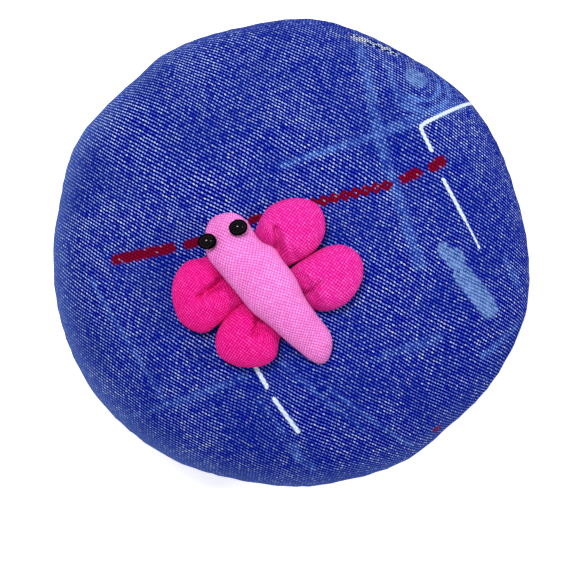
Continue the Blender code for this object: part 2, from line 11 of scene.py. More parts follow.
import bmesh
import bpy
from mathutils import Matrix, Vector, noise


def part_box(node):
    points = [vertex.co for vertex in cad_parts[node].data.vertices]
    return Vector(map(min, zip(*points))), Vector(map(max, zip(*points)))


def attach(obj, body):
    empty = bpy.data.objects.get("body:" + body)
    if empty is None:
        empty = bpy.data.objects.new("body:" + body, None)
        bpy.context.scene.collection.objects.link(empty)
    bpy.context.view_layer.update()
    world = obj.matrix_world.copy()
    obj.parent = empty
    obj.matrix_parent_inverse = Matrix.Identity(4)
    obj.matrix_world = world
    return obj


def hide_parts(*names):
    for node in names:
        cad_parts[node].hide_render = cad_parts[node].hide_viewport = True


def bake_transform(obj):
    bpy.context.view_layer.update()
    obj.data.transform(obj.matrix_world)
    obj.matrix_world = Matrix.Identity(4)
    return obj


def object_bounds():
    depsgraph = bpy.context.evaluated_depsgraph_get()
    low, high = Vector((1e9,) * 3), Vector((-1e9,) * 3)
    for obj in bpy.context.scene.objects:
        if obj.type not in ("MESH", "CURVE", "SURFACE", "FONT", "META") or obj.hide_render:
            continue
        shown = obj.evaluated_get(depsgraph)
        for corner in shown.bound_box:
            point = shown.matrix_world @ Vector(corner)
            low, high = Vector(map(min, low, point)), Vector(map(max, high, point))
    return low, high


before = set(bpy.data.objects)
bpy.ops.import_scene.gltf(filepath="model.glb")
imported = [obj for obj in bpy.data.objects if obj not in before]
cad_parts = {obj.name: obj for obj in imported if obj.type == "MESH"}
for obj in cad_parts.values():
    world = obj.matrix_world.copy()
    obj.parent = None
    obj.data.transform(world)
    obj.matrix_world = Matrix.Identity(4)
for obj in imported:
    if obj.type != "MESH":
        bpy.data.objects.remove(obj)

CAD_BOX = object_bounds()
MM = 0.001
ORIGIN = Vector((0.0, 0.0))
UP = Vector((0.0, 0.0, 1.0))


def cad(node):
    """Lowest and highest corners of a CAD node, in millimetres."""
    low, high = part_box(node)
    return low / MM, high / MM


# ---- sizes, from the frame

SEAM_Z = 0.5 * (cad("rim_seam_thread")[0].z + cad("rim_seam_thread")[1].z)
CUSHION_RADIUS = cad("top_cover")[1].x
DOME_RISE = cad("top_cover")[1].z - SEAM_Z
BASE_Z = cad("back_cover")[0].z
GUARD_LOW, GUARD_HIGH = cad("wrist_guard_disc")
STRAP_HIGH = cad("strap_middle")[1]
STRAP_HALF_WIDTH = STRAP_HIGH.y
STRAP_THICKNESS = 1.4
RUN_Z = STRAP_HIGH.z - 0.5 * STRAP_THICKNESS
RUN_LOW_Z = RUN_Z - 0.5 * STRAP_THICKNESS
LOOP_HALF = cad("strap_bend_right")[1].x - 0.5 * STRAP_THICKNESS
HOOK_TAIL_Z = cad("strap_hook_tail")[0].z + 0.5 * STRAP_THICKNESS
LOOP_TAIL_Z = cad("strap_loop_tail")[0].z + 0.5 * STRAP_THICKNESS

# Cushion.
DOME_POWER = 2.4
BASE_FLAT_RADIUS = 34.0
CLOTH_WALL = 0.6
SEAM_ALLOWANCE = 6.5
SEAM_HALF_GAP = 0.15
SEAM_TURN = (
    (0.02, 1.05), (0.16, 0.70), (0.42, 0.42), (0.80, 0.24), (1.4, SEAM_HALF_GAP),
    (0.5 * SEAM_ALLOWANCE, SEAM_HALF_GAP), (SEAM_ALLOWANCE, SEAM_HALF_GAP),
)
CUSHION_COLUMNS = 240
DOME_ROWS = 46
DOME_REACH = 0.9985
BASE_ROWS = 12
SIDE_ROWS = 18
PLAIN_COLUMNS = 96
RIM_STITCHES = 96
RIM_THREAD_RADIUS = 0.13
STITCH_LEAN = 0.006
THREAD_TIP = 0.55
RIM_RADII = (
    (0, 48.5), (15, 47.5), (30, 47.75), (41, 47.8), (60, 46.8), (72, 47.2), (84, 47.9),
    (102, 47.1), (123, 48.0), (132, 47.5), (141, 48.0), (153, 49.1), (168, 48.2), (180, 48.4),
    (213, 49.2), (240, 48.5), (258, 47.5), (276, 47.8), (282, 47.7), (300, 48.4), (312, 47.9),
    (326, 48.8), (336, 49.2), (346, 49.5),
)

# Dragonfly body: head centre, direction to the tail, and (along, left edge, right edge).
BODY_ORIGIN = Vector((-13.0, 3.3))
BODY_DIRECTION = Vector((0.64, -0.77)).normalized()
BODY_SIDE = Vector((-BODY_DIRECTION.y, BODY_DIRECTION.x))
BODY_OUTLINE = (
    (-4.3, -0.5, 0.8), (-3.7, -1.9, 2.7), (-2.2, -3.6, 4.5), (0.0, -5.0, 5.3),
    (2.0, -5.7, 5.3), (4.5, -5.8, 4.9), (6.2, -5.8, 5.15), (8.4, -5.8, 6.2),
    (11.3, -5.8, 5.9), (15.3, -5.8, 5.75), (19.6, -4.9, 4.6), (23.7, -4.3, 4.2),
    (27.5, -3.6, 4.1), (29.8, -3.1, 3.2), (31.4, -2.4, 1.7), (32.3, -1.4, 0.2),
)
BODY_FLATNESS = 0.7
NOSE_RAISE = 1.5
BODY_COLUMNS = 40
CLEARANCE = 0.3
BODY_LIFT = 2.1
BODY_LIFT_START = -6.0
BODY_LIFT_END = 28.0
BODY_LIFT_RAMP = 6.0
BEAD_PLACES = {"right": (0.8, 3.0), "left": (-1.0, -3.4)}
BEAD_AXIS = Vector((0.25, -0.97)).normalized()
BEAD_DENT_DEPTH = 0.95
BEAD_SINK = 0.45
BEAD_DENT_RADIUS = 2.6
BEAD_RADIUS = 1.85
BEAD_HALF_LENGTH = 1.58
BEAD_HOLE = 0.6

# Wings: outline seen from above, and the crease that the gathers pull into it.
WING_HEIGHT = 7.0
WING_EDGE_HEIGHT = 0.38
WING_COLUMNS = 96
WING_RINGS = 20
CREASE_WIDTH = 0.95
WINGS = {
    "front_right_wing": (
        ((-4.5, -4.6), (0.5, -2.6), (5.0, 0.2), (7.0, 4.5), (5.6, 9.2), (1.0, 10.7),
         (-4.2, 9.0), (-7.0, 4.5), (-8.0, -0.4)),
        (((-2.4, 0.2), (-2.4, 1.8), (-3.0, 4.4)), ((0.9, -1.4), (0.2, 0.6))),
    ),
    "rear_right_wing": (
        ((-2.9, -6.3), (0.1, -3.1), (3.6, -0.7), (7.3, 1.2), (11.0, 1.3), (14.0, -1.2),
         (14.2, -5.6), (11.4, -10.0), (7.0, -11.9), (3.0, -11.2), (0.3, -10.4)),
        (((1.6, -9.2), (4.4, -7.7)), ((4.2, -7.7), (3.1, -5.1)), ((4.2, -7.7), (6.1, -6.0)),
         ((4.3, -7.8), (4.9, -9.6))),
    ),
    "front_left_wing": (
        ((-12.9, 0.4), (-17.0, -0.9), (-20.8, -2.0), (-23.2, -5.4), (-23.4, -9.8),
         (-21.6, -14.2), (-17.4, -16.2), (-13.9, -14.3), (-10.9, -11.6), (-6.8, -7.0)),
        (((-12.2, -4.8), (-14.0, -6.4), (-16.2, -7.8), (-17.9, -8.8)),
         ((-14.8, -6.8), (-14.2, -9.6))),
    ),
    "rear_left_wing": (
        ((-5.5, -8.3), (-9.5, -10.0), (-12.8, -12.7), (-14.9, -16.8), (-14.2, -20.6),
         (-10.6, -22.7), (-6.0, -22.8), (-2.9, -21.0), (-2.0, -17.4), (-0.7, -14.0)),
        (((-4.9, -11.8), (-6.4, -13.7), (-7.0, -16.2)), ((-6.6, -14.2), (-4.2, -15.4)),
         ((-6.8, -14.3), (-8.8, -13.7))),
    ),
}

# Woven-in marks on the denim, seen from above: points, half width, strength.
RED_MARKS = (
    (((-34.6, -1.5), (-23.8, 0.7)), 1.05), (((-20.2, 1.5), (-18.4, 2.0)), 0.95),
    (((-7.8, 6.2), (-6.4, 6.7)), 0.8), (((22.7, 14.6), (25.2, 15.8)), 1.0),
    (((28.5, 17.0), (30.1, 18.1)), 1.1), (((29.6, -36.2), (30.2, -35.8)), 0.7),
)
RED_CHAIN = ((2.4, 9.0), (19.9, 13.4))
WHITE_MARKS = (
    (((37.3, 30.8), (27.1, 26.0), (26.2, 25.3), (26.1, 24.5), (28.1, 20.3)), 0.38),
    (((30.5, 14.5), (34.8, 6.6)), 0.36), (((34.8, 6.6), (37.8, 0.8)), 0.2),
    (((-7.0, -22.8), (-4.7, -26.8)), 0.42), (((-3.3, -29.2), (1.5, -35.8)), 0.42),
)
PALE_MARKS = (
    (((30.4, 0.5), (33.2, -2.6)), 1.4, 1.0), (((33.4, 0.2), (34.2, -1.4)), 0.7, 1.0),
    (((34.4, -4.6), (39.7, -11.3)), 2.1, 1.0), (((25.6, 35.6), (25.7, 35.6)), 2.6, 0.9),
)
FADED_MARKS = (
    (((-1.7, 17.1), (17.3, 23.4)), 0.6, 0.8), (((17.3, 23.4), (35.2, 30.1)), 1.1, 0.55),
    (((13.8, 42.9), (16.8, 27.2), (19.3, 16.4), (25.6, -2.6)), 1.1, 0.55),
    (((19.5, 38.5), (22.0, 30.0)), 0.8, 0.5), (((21.5, 31.5), (27.0, 28.5)), 0.8, 0.5),
    (((-39.9, -5.2), (-24.5, -30.3)), 0.35, 0.6), (((-34.5, -33.3), (-9.2, -24.8)), 0.55, 0.5),
    (((-6.1, -29.8), (-1.1, -36.2)), 0.35, 0.5), (((0.6, -39.0), (1.6, -41.6)), 0.8, 0.7),
    (((1.8, -41.4), (4.6, -43.6)), 0.8, 0.7), (((-1.7, -22.2), (14.9, -35.7)), 0.4, 0.5),
    (((7.8, -27.2), (24.7, -39.2)), 0.25, 0.9), (((17.3, -21.0), (29.5, -17.1)), 0.8, 0.5),
    (((38.6, -20.8), (45.4, -14.8)), 0.8, 0.6), (((43.2, -1.9), (46.5, -7.8)), 0.8, 0.5),
)
RIPPLE_CENTRE = (25.6, 35.6)
RIPPLE_PITCH = 2.5
DOTTED_MARK = ((13.4, 44.2), (21.4, 41.6))
COTTON_DEGREES = 35.0
COTTON_PERIOD = 0.56

# Strap and patches.
BEND_STEPS = 12
SHARP_ANGLE = 0.9
PATCH_BASE = 0.5
PATCH_CORNER = 1.2
PATCH_MARGIN = 2.2
HOOK_PITCH = 1.15
HOOK_LEAN = 0.22
LOOP_PITCH = 0.62


# ---- mesh helpers

def ramp(value, start, end):
    t = min(1.0, max(0.0, (value - start) / (end - start)))
    return t * t * (3.0 - 2.0 * t)


def polar(radius, angle, height):
    return Vector((radius * math.cos(angle), radius * math.sin(angle), height))


def circle(count):
    """Angles of evenly spaced places round a circle."""
    return [math.tau * j / count for j in range(count)]


def lathe(outline, count):
    """Rings of an outline of (radius, height) turned round the Z axis."""
    return [[polar(radius, angle, height) for angle in circle(count)]
            for radius, height in outline]


COLUMN_ANGLES = circle(CUSHION_COLUMNS)


def spline(points, count, closed=False):
    """Points spaced evenly along a Catmull-Rom curve through points of any size."""
    points = [Vector(p) for p in points]
    total = len(points)
    result = []
    for k in range(count):
        place = k * total / count if closed else k * (total - 1) / (count - 1)
        i = min(int(place), total - 1 if closed else total - 2)
        t = place - i
        a, b, c, d = (points[n % total if closed else min(max(n, 0), total - 1)]
                      for n in range(i - 1, i + 3))
        result.append(0.5 * (2 * b + (c - a) * t + (2 * a - 5 * b + 4 * c - d) * t ** 2
                             + (3 * b - a - 3 * c + d) * t ** 3))
    return result


def add_object(name, data):
    made = bpy.data.objects.new(name, data)
    bpy.context.scene.collection.objects.link(made)
    return made


def to_piece(name, bm, material):
    """A finished bmesh in millimetres as an object in metres."""
    bmesh.ops.scale(bm, vec=(MM, MM, MM), verts=bm.verts)
    mesh = bpy.data.meshes.new(name)
    bm.to_mesh(mesh)
    bm.free()
    mesh.shade_smooth()
    mesh.materials.append(material)
    return add_object(name, mesh)


def add_grid(bm, rows, flats, poles=(None, None), pole_flats=(ORIGIN, ORIGIN)):
    """Rings of points closed across, with a pole at either end, and their flat cloth places."""
    layer = bm.loops.layers.uv.new("ClothFlat")
    verts = [[bm.verts.new(point) for point in row] for row in rows]
    columns = len(rows[0])

    def face(corners, flat_places):
        for loop, place in zip(bm.faces.new(corners).loops, flat_places):
            loop[layer].uv = (place[0], place[1])

    for near, far, near_flats, far_flats in zip(verts, verts[1:], flats, flats[1:]):
        for j in range(columns):
            k = (j + 1) % columns
            face((near[j], near[k], far[k], far[j]),
                 (near_flats[j], near_flats[j + 1], far_flats[j + 1], far_flats[j]))
    for end, pole, pole_flat in zip((0, -1), poles, pole_flats):
        if pole is None:
            continue
        tip = bm.verts.new(pole)
        for j in range(columns):
            turn = (j + 1, j) if end == 0 else (j, j + 1)
            face((tip, *(verts[end][k % columns] for k in turn)),
                 (pole_flat, *(flats[end][k] for k in turn)))


def closed_piece(name, bm, material):
    bmesh.ops.recalc_face_normals(bm, faces=bm.faces)
    return to_piece(name, bm, material)


def grid_piece(name, rows, flats, poles, pole_flats, material):
    """A closed form from rings and two poles."""
    bm = bmesh.new()
    add_grid(bm, rows, flats, poles, pole_flats)
    return closed_piece(name, bm, material)


def radial_flats(rows, pole):
    """Cloth places of rings round a pole: distance along each spoke, and its heading."""
    headings = [Vector((p.x - pole.x, p.y - pole.y)).normalized() for p in rows[0]]
    reach = [0.0] * len(headings)
    before = [pole] * len(headings)
    result = []
    for row in rows:
        reach = [r + (p - b).length for r, p, b in zip(reach, row, before)]
        before = row
        flat_row = [heading * r for heading, r in zip(headings, reach)]
        result.append(flat_row + flat_row[:1])
    return result


def add_tube(bm, points, radius, sides=6, flatten=1.0, up=UP):
    """A thread through points in millimetres, closed and tapered at both ends."""
    points = [Vector(p) for p in points]
    last = len(points) - 1
    rings = []
    for i, point in enumerate(points):
        forward = points[min(i + 1, last)] - points[max(i - 1, 0)]
        side = forward.cross(up)
        if side.length < 1e-6:
            side = forward.cross(Vector((1.0, 0.3, 0.0)))
        side.normalize()
        lift = side.cross(forward).normalized() * flatten
        size = radius * (THREAD_TIP if i in (0, last) else 1.0)
        rings.append([bm.verts.new(point + (side * math.cos(a) + lift * math.sin(a)) * size)
                      for a in circle(sides)])
    for near, far in zip(rings, rings[1:]):
        for k in range(sides):
            n = (k + 1) % sides
            bm.faces.new((near[k], near[n], far[n], far[k]))
    bm.faces.new(rings[0][::-1])
    bm.faces.new(rings[-1])


def thread_piece(name, runs, radius, material, flatten=1.0):
    """Several lengths of thread as one piece."""
    bm = bmesh.new()
    for run in runs:
        add_tube(bm, run, radius, flatten=flatten)
    return closed_piece(name, bm, material)


def settle(piece, body, slot, *nodes):
    """Ride on a body and stand for CAD nodes; the slot is not used."""
    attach(piece, body)
    if nodes:
        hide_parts(*nodes)
    return piece


# ---- material helpers

class Graph:
    """A material's nodes, with one short call for each kind."""

    def __init__(self, name):
        self.material = bpy.data.materials.new(name)
        self.material.use_nodes = True
        self.tree = self.material.node_tree
        self.shader = self.tree.nodes["Principled BSDF"]

    def put(self, socket, value):
        """Link a socket, or set it; a colour is given as red, green and blue."""
        if isinstance(value, bpy.types.NodeSocket):
            self.tree.links.new(value, socket)
        elif socket.type == "RGBA":
            socket.default_value = (*value, 1.0)
        else:
            socket.default_value = value

    def node(self, kind, *inputs, **named):
        """A node: its first inputs, then its settings, and sockets where the name is capital."""
        made = self.tree.nodes.new("ShaderNode" + kind)
        for key, value in named.items():
            if key[0].isupper():
                self.put(made.inputs[key], value)
            else:
                setattr(made, key, value)
        for socket, value in zip(made.inputs, inputs):
            self.put(socket, value)
        return made

    def math(self, operation, a, b=0.0, c=0.0, clamp=False):
        return self.node("Math", a, b, c, operation=operation, use_clamp=clamp).outputs[0]

    def vector(self, operation, a, b=(0.0, 0.0, 0.0), c=(0.0, 0.0, 0.0)):
        made = self.node("VectorMath", a, b, c, operation=operation)
        return made.outputs[1 if operation in ("DOT_PRODUCT", "LENGTH") else 0]

    add = partialmethod(math, "ADD")
    sub = partialmethod(math, "SUBTRACT")
    mul = partialmethod(math, "MULTIPLY")
    mad = partialmethod(math, "MULTIPLY_ADD")
    most = partialmethod(math, "MAXIMUM")
    sine = partialmethod(math, "SINE")
    dot = partialmethod(vector, "DOT_PRODUCT")
    length = partialmethod(vector, "LENGTH")
    vec_add = partialmethod(vector, "ADD")
    vec_sub = partialmethod(vector, "SUBTRACT")
    vec_mul = partialmethod(vector, "MULTIPLY")
    vec_mad = partialmethod(vector, "MULTIPLY_ADD")

    def scaled(self, vector, factor):
        """A vector times a single number."""
        return self.node("VectorMath", vector, operation="SCALE", Scale=factor).outputs[0]

    def mix(self, factor, a, b, kind="RGBA"):
        made = self.node("Mix", factor, data_type=kind)
        first, result = (6, 2) if kind == "RGBA" else (2, 0)
        self.put(made.inputs[first], a)
        self.put(made.inputs[first + 1], b)
        return made.outputs[result]

    def smooth(self, value, start, end):
        """0 at start, 1 at end, eased in between; start may be the larger."""
        return self.node("MapRange", value, start, end, 0.0, 1.0,
                         interpolation_type="SMOOTHSTEP").outputs[0]

    def noise(self, where, scale, detail=2.0, roughness=0.5, output="Fac"):
        return self.node("TexNoise", Vector=where, Scale=scale, Detail=detail,
                         Roughness=roughness).outputs[output]

    def wander(self, where, scale):
        """A random offset of up to half a unit each way."""
        return self.vec_sub(self.noise(where, scale, 1.0, output="Color"), (0.5, 0.5, 0.5))

    def bands(self, place, direction, scale, distortion=0.0):
        return self.node("TexWave", place, wave_type="BANDS", bands_direction=direction,
                         Scale=scale, Distortion=distortion).outputs["Fac"]

    def cloth_place(self):
        """Place on the flat cloth, in millimetres."""
        return self.node("UVMap", uv_map="ClothFlat").outputs[0]

    def object_place(self):
        """Place on the object, in millimetres."""
        return self.vec_mul(self.node("TexCoord").outputs["Object"], (1000.0, 1000.0, 1000.0))

    def random_cell(self, cell, seed):
        where = self.vec_add(cell, (seed, -seed, seed))
        return self.node("TexWhiteNoise", where, noise_dimensions="3D").outputs[0]

    def bump(self, height, distance, strength):
        """Relief: distance is in millimetres."""
        made = self.node("Bump", Strength=strength, Distance=distance * MM, Height=height)
        self.put(self.shader.inputs["Normal"], made.outputs[0])

    def finish(self, colour, **sockets):
        self.put(self.shader.inputs["Base Color"], colour)
        for key, value in sockets.items():
            self.put(self.shader.inputs[key.replace("_", " ").title().replace("Ior", "IOR")], value)
        return self.material


# ---- denim

FLECK_PERIOD = 0.67
WAVE_DEGREES = (61.0, 170.0)
FLECK_DEGREES = -37.0
FLECK_SIZE = (0.33, 0.15)


def wave(degrees):
    angle = math.radians(degrees)
    return Vector((math.cos(angle), math.sin(angle), 0.0)) / FLECK_PERIOD


def lattice(g, place):
    """The weave's lattice: each cell's number, the way from its middle, and the fleck in it."""
    first, second = (wave(degrees) for degrees in WAVE_DEGREES)
    turn_first = Vector((-second.y, second.x, 0.0))
    turn_second = Vector((-first.y, first.x, 0.0))
    step_first = turn_first / first.dot(turn_first)
    step_second = turn_second / second.dot(turn_second)
    a = g.dot(place, first)
    b = g.dot(place, second)
    cell_a, cell_b = g.math("ROUND", a), g.math("ROUND", b)
    cell = g.node("CombineXYZ", cell_a, cell_b, 0.0).outputs[0]
    part_a, part_b = g.sub(a, cell_a), g.sub(b, cell_b)
    offset = g.vec_add(g.scaled(step_first, part_a), g.scaled(step_second, part_b))
    turn = math.radians(FLECK_DEGREES)
    long_way = Vector((math.cos(turn), math.sin(turn), 0.0)) / FLECK_SIZE[0]
    short_way = Vector((-math.sin(turn), math.cos(turn), 0.0)) / FLECK_SIZE[1]
    along = g.dot(offset, long_way)
    across = g.dot(offset, short_way)
    distance = g.length(g.node("CombineXYZ", along, across, 0.0).outputs[0])
    return cell, offset, distance


def to_flat(point):
    """Where a point seen from above lies on the flat cloth."""
    radius = math.hypot(*point)
    steps = 60
    spots = [Vector((radius * i / steps, dome_z(radius * i / steps, CUSHION_RADIUS)))
             for i in range(steps + 1)]
    reach = sum((b - a).length for a, b in zip(spots, spots[1:]))
    return Vector((*point, 0.0)) * (reach / max(radius, 1e-6))


def segments(marks):
    """Straight pieces of each mark, on the flat cloth: start, end, half width, strength."""
    result = []
    for line, half_width, *strength in marks:
        points = [to_flat(p) for p in line]
        result += [(a, b, half_width, *(strength or [1.0])) for a, b in zip(points, points[1:])]
    return result


def distance_to(g, place, start, end):
    """Distance from a straight piece, and the way along it from 0 to 1."""
    reach = end - start
    from_start = g.vec_sub(place, start)
    t = g.dot(from_start, reach / reach.length_squared)
    t = g.mul(t, 1.0, clamp=True)
    return g.length(g.vec_add(g.scaled(-reach, t), from_start)), t


def mark_mask(g, place, marks, softness):
    """1 on the marks, 0 off them, with an edge of the given width."""
    total = None
    for start, end, half_width, strength in segments(marks):
        distance, _ = distance_to(g, place, start, end)
        inside = g.smooth(distance, half_width + softness, half_width - softness)
        if strength < 1.0:
            inside = g.mul(inside, strength)
        total = inside if total is None else g.most(total, inside)
    return total


def chain_mask(g, place):
    """A band woven as a chain: scalloped edges and an eye in each link."""
    start, end = (to_flat(p) for p in RED_CHAIN)
    distance, t = distance_to(g, place, start, end)
    link = 2.15
    turns = g.mul(t, (end - start).length / link * math.tau)
    half_width = g.mad(g.math("COSINE", turns), 0.36, 0.82)
    band = g.smooth(g.sub(distance, half_width), 0.12, -0.12)
    eye_along = g.sub(1.0, g.math("COSINE", turns))
    eye = g.add(g.mul(eye_along, 1.3), g.mul(distance, 2.2))
    solid = g.smooth(t, 0.42, 0.34)
    return g.mul(band, g.most(g.smooth(eye, 0.3, 0.65), solid))


def ripple_mask(g, place):
    """Arcs that spread to one side of the pale spot near the edge."""
    from_spot = g.vec_sub(place, to_flat(RIPPLE_CENTRE))
    reach = g.length(from_spot)
    bands = g.smooth(g.sine(g.mul(reach, math.tau / RIPPLE_PITCH)), -0.2, 0.4)
    beside = g.smooth(g.dot(from_spot, (0.8, -0.6, 0.0)), -1.0, 2.5)
    limits = g.mul(g.smooth(reach, 3.2, 3.8), g.smooth(reach, 11.0, 8.0))
    return g.mul(g.mul(bands, beside), g.mul(limits, 1.1))


def denim(name, printed):
    g = Graph(name)
    flat = g.cloth_place()
    drift = g.wander(flat, 0.045)
    shiver = g.wander(flat, 0.8)
    place = g.vec_mad(drift, (3.0, 3.0, 0.0), flat)
    place = g.vec_mad(shiver, (0.28, 0.28, 0.0), place)
    cell, offset, distance = lattice(g, place)

    fleck = g.smooth(distance, 1.1, 0.65)
    gap = g.smooth(distance, 0.85, 1.2)
    chance = g.random_cell(cell, 3.7)
    patch = g.noise(flat, 0.22)
    bright = g.mad(chance, 0.8, g.mad(patch, 0.4, -0.15))
    # painted light and shade: flecks drawn brighter towards the upper left, where the light comes
    # from, dimmer towards the lower right, and darkened by a painted shade along the top rim
    painted_fleck_light = g.add(g.dot(flat, (-0.0045, 0.006, 0.0)), 1.0)
    top_rim_painted_shade = g.smooth(g.dot(flat, (-0.1, 1.0, 0.0)), 38.0, 54.0)
    painted_fleck_light = g.mad(top_rim_painted_shade, -0.55, painted_fleck_light)
    glint = g.mul(g.smooth(g.random_cell(cell, 9.1), 0.72, 1.0), 0.7)
    fleck_colour = g.mix(g.mul(bright, painted_fleck_light, clamp=True),
                         (0.016, 0.046, 0.60), (0.34, 0.49, 1.0))
    fleck_colour = g.mix(glint, fleck_colour, (0.62, 0.78, 1.0))
    ground = g.mix(gap, (0.0, 0.006, 0.36), (0.0, 0.0, 0.11))
    colour = g.mix(fleck, ground, fleck_colour)

    # painted shade: soft darker patches at random, standing in for the shading of broad folds in the
    # cloth
    shade = g.noise(flat, 0.06)
    colour = g.mix(g.smooth(shade, 0.62, 0.30), colour,
                   g.mix(0.5, colour, (0.0, 0.008, 0.2)))

    if printed:
        spot = g.vec_mad(offset, (-0.75, -0.75, 0.0), flat)
        pale_cloth = g.mix(gap, (0.15, 0.29, 0.62), (0.010, 0.032, 0.20))
        pale_cloth = g.mix(g.mul(chance, 0.35), pale_cloth, (0.30, 0.46, 0.85))
        streak_cloth = g.mix(fleck, (0.030, 0.085, 0.36), (0.26, 0.44, 0.90))
        faded = g.most(mark_mask(g, spot, FADED_MARKS, 0.45), ripple_mask(g, spot))
        faded = g.mul(faded, g.smooth(patch, 0.15, 0.65))
        faded = g.mul(faded, g.mad(chance, 1.0, 0.3), clamp=True)
        colour = g.mix(faded, colour, streak_cloth)
        colour = g.mix(mark_mask(g, spot, PALE_MARKS, 0.15), colour, pale_cloth)
        dotted = mark_mask(g, spot, ((DOTTED_MARK, 1.3),), 0.3)
        dot = g.mul(g.smooth(distance, 1.1, 0.8), g.smooth(chance, 0.35, 0.45))
        dots = g.mix(dot, (0.0, 0.008, 0.14), (0.9, 1.0, 1.0))
        colour = g.mix(dotted, colour, dots)
        red_cloth = g.mix(fleck, (0.10, 0.001, 0.012), (0.24, 0.003, 0.03))
        red_cloth = g.mix(g.smooth(g.random_cell(cell, 5.3), 0.93, 0.97), red_cloth,
                          g.mix(fleck, red_cloth, (0.32, 0.24, 0.5)))
        red = g.most(mark_mask(g, spot, RED_MARKS, 0.15), chain_mask(g, flat))
        colour = g.mix(red, colour, red_cloth)
        white_cloth = g.mix(gap, (0.80, 0.90, 0.95), (0.50, 0.60, 0.78))
        white_place = g.vec_mad(offset, (-0.25, -0.25, 0.0), flat)
        colour = g.mix(mark_mask(g, white_place, WHITE_MARKS, 0.12), colour, white_cloth)

    # rim wear and painted sheen: a lighter, fuzzier band near the edge, strongest towards the lower
    # left, is partly real wear of the cloth and partly a painted sheen of light grazing its fuzz
    reach = g.length(flat)
    wear_and_sheen_side = g.dot(flat, (-0.0155, -0.0085, 0.0))
    wear_and_sheen = g.mul(g.smooth(reach, 44.0, 58.0), g.smooth(wear_and_sheen_side, -0.9, 0.9))
    fibres = g.noise(flat, 2.2, 3.0, 0.7)
    fuzz_and_sheen = g.mix(fibres, (0.03, 0.07, 0.30), (0.15, 0.24, 0.62))
    colour = g.mix(g.mul(wear_and_sheen, 0.7), colour, fuzz_and_sheen)

    relief = g.mad(fleck, 0.8, g.mul(fibres, 0.35))
    g.bump(relief, 0.10, 0.6)
    return g.finish(colour, roughness=0.9, specular_ior_level=0.0, sheen_weight=0.004,
                    sheen_roughness=0.4, sheen_tint=(0.35, 0.5, 1.0))


# ---- other cloths and threads


def cotton(name, dark, middle, light, pores, specks):
    """A soft plain-woven cotton, with painted highlights on its thread crests; pores is how dark the
    painted shade in the weave's holes is.
    """
    g = Graph(name)
    flat = g.cloth_place()
    place = g.vec_mad(g.wander(flat, 1.1), (0.25, 0.25, 0.0), flat)
    turned = g.node("VectorRotate", place, rotation_type="Z_AXIS",
                    Angle=math.radians(COTTON_DEGREES)).outputs[0]
    split = g.node("SeparateXYZ", g.scaled(turned, math.pi / COTTON_PERIOD))
    across, along = (g.math("ABSOLUTE", g.sine(split.outputs[i])) for i in (0, 1))
    raised = g.math("POWER", g.mul(across, along), 0.5)
    cell = g.vector("FLOOR", g.scaled(turned, 1.0 / COTTON_PERIOD))
    chance = g.random_cell(cell, 2.2)
    slubs = g.noise(g.vec_mul(turned, (0.5, 2.4, 1.0)), 1.0)
    cloudy = g.noise(flat, 0.16)
    tone = g.mad(chance, 0.2, g.mad(slubs, 0.4, -0.17))
    # painted highlight: the raised thread crests push the tone up, so they are drawn lighter
    tone = g.mad(cloudy, 0.35, g.mad(raised, 0.42, tone))
    colour = g.mix(g.smooth(tone, 0.2, 0.6), g.mix(0.5, dark, middle), middle)
    colour = g.mix(g.smooth(tone, 0.55, 0.95), colour, light)
    # painted shade: the weave's holes are drawn towards the dark colour
    hole = g.mul(g.smooth(raised, 0.8, 0.3), pores)
    speck = g.mul(g.smooth(g.random_cell(cell, 6.1), 1.0 - specks, 1.0), 0.55)
    speck = g.mul(speck, g.smooth(raised, 0.95, 0.5))
    colour = g.mix(g.most(hole, speck), colour, dark)
    g.bump(g.mad(raised, 0.8, g.mul(slubs, 0.5)), 0.10, 0.7)
    return g.finish(colour, roughness=0.85, specular_ior_level=0.06, sheen_weight=0.04,
                    sheen_roughness=0.4, sheen_tint=light)


def thread(name, dark, light):
    """Twisted sewing thread."""
    g = Graph(name)
    place = g.object_place()
    twist = g.bands(place, "DIAGONAL", 1.6, 1.5)
    tone = g.mad(twist, 0.6, g.mul(g.noise(place, 6.0), 0.4))
    g.bump(tone, 0.05, 0.7)
    return g.finish(g.mix(tone, dark, light), roughness=0.6, specular_ior_level=0.35,
                    sheen_weight=0.2)


def webbing():
    """Flat webbing with a herringbone of ribs and a plain edge."""
    g = Graph("webbing")
    place = g.cloth_place()
    split = g.node("SeparateXYZ", place)
    along, across = split.outputs[0], split.outputs[1]
    fold = g.math("PINGPONG", g.add(across, 50.0), 2.5)
    ribs = g.sine(g.mul(g.add(along, fold), math.tau / 1.25))
    picks = g.sine(g.mul(across, math.tau / 0.9))
    middle = g.mad(ribs, 0.35, g.mad(picks, 0.15, 0.5))
    selvedge = g.mad(g.sine(g.mul(along, math.tau / 0.8)), 0.4, 0.5)
    edge = g.smooth(g.math("ABSOLUTE", across), STRAP_HALF_WIDTH - 1.6, STRAP_HALF_WIDTH - 1.2)
    relief = g.mix(edge, middle, selvedge, "FLOAT")
    tone = g.mad(g.noise(place, 3.0, 3.0, 0.7), 0.5, g.mul(relief, 0.6))
    g.bump(relief, 0.18, 0.8)
    return g.finish(g.mix(tone, (0.004, 0.008, 0.03), (0.045, 0.07, 0.19)), roughness=0.7,
                    specular_ior_level=0.3, sheen_weight=0.25)


def tape(name, dark, light, roughness):
    """Backing and pile of the hook and loop patches."""
    g = Graph(name)
    place = g.object_place()
    tone = g.mad(g.bands(place, "X", 0.5), 0.35, g.mul(g.noise(place, 2.5, 3.0, 0.7), 0.6))
    g.bump(tone, 0.08, 0.6)
    return g.finish(g.mix(tone, dark, light), roughness=roughness, sheen_weight=0.2)


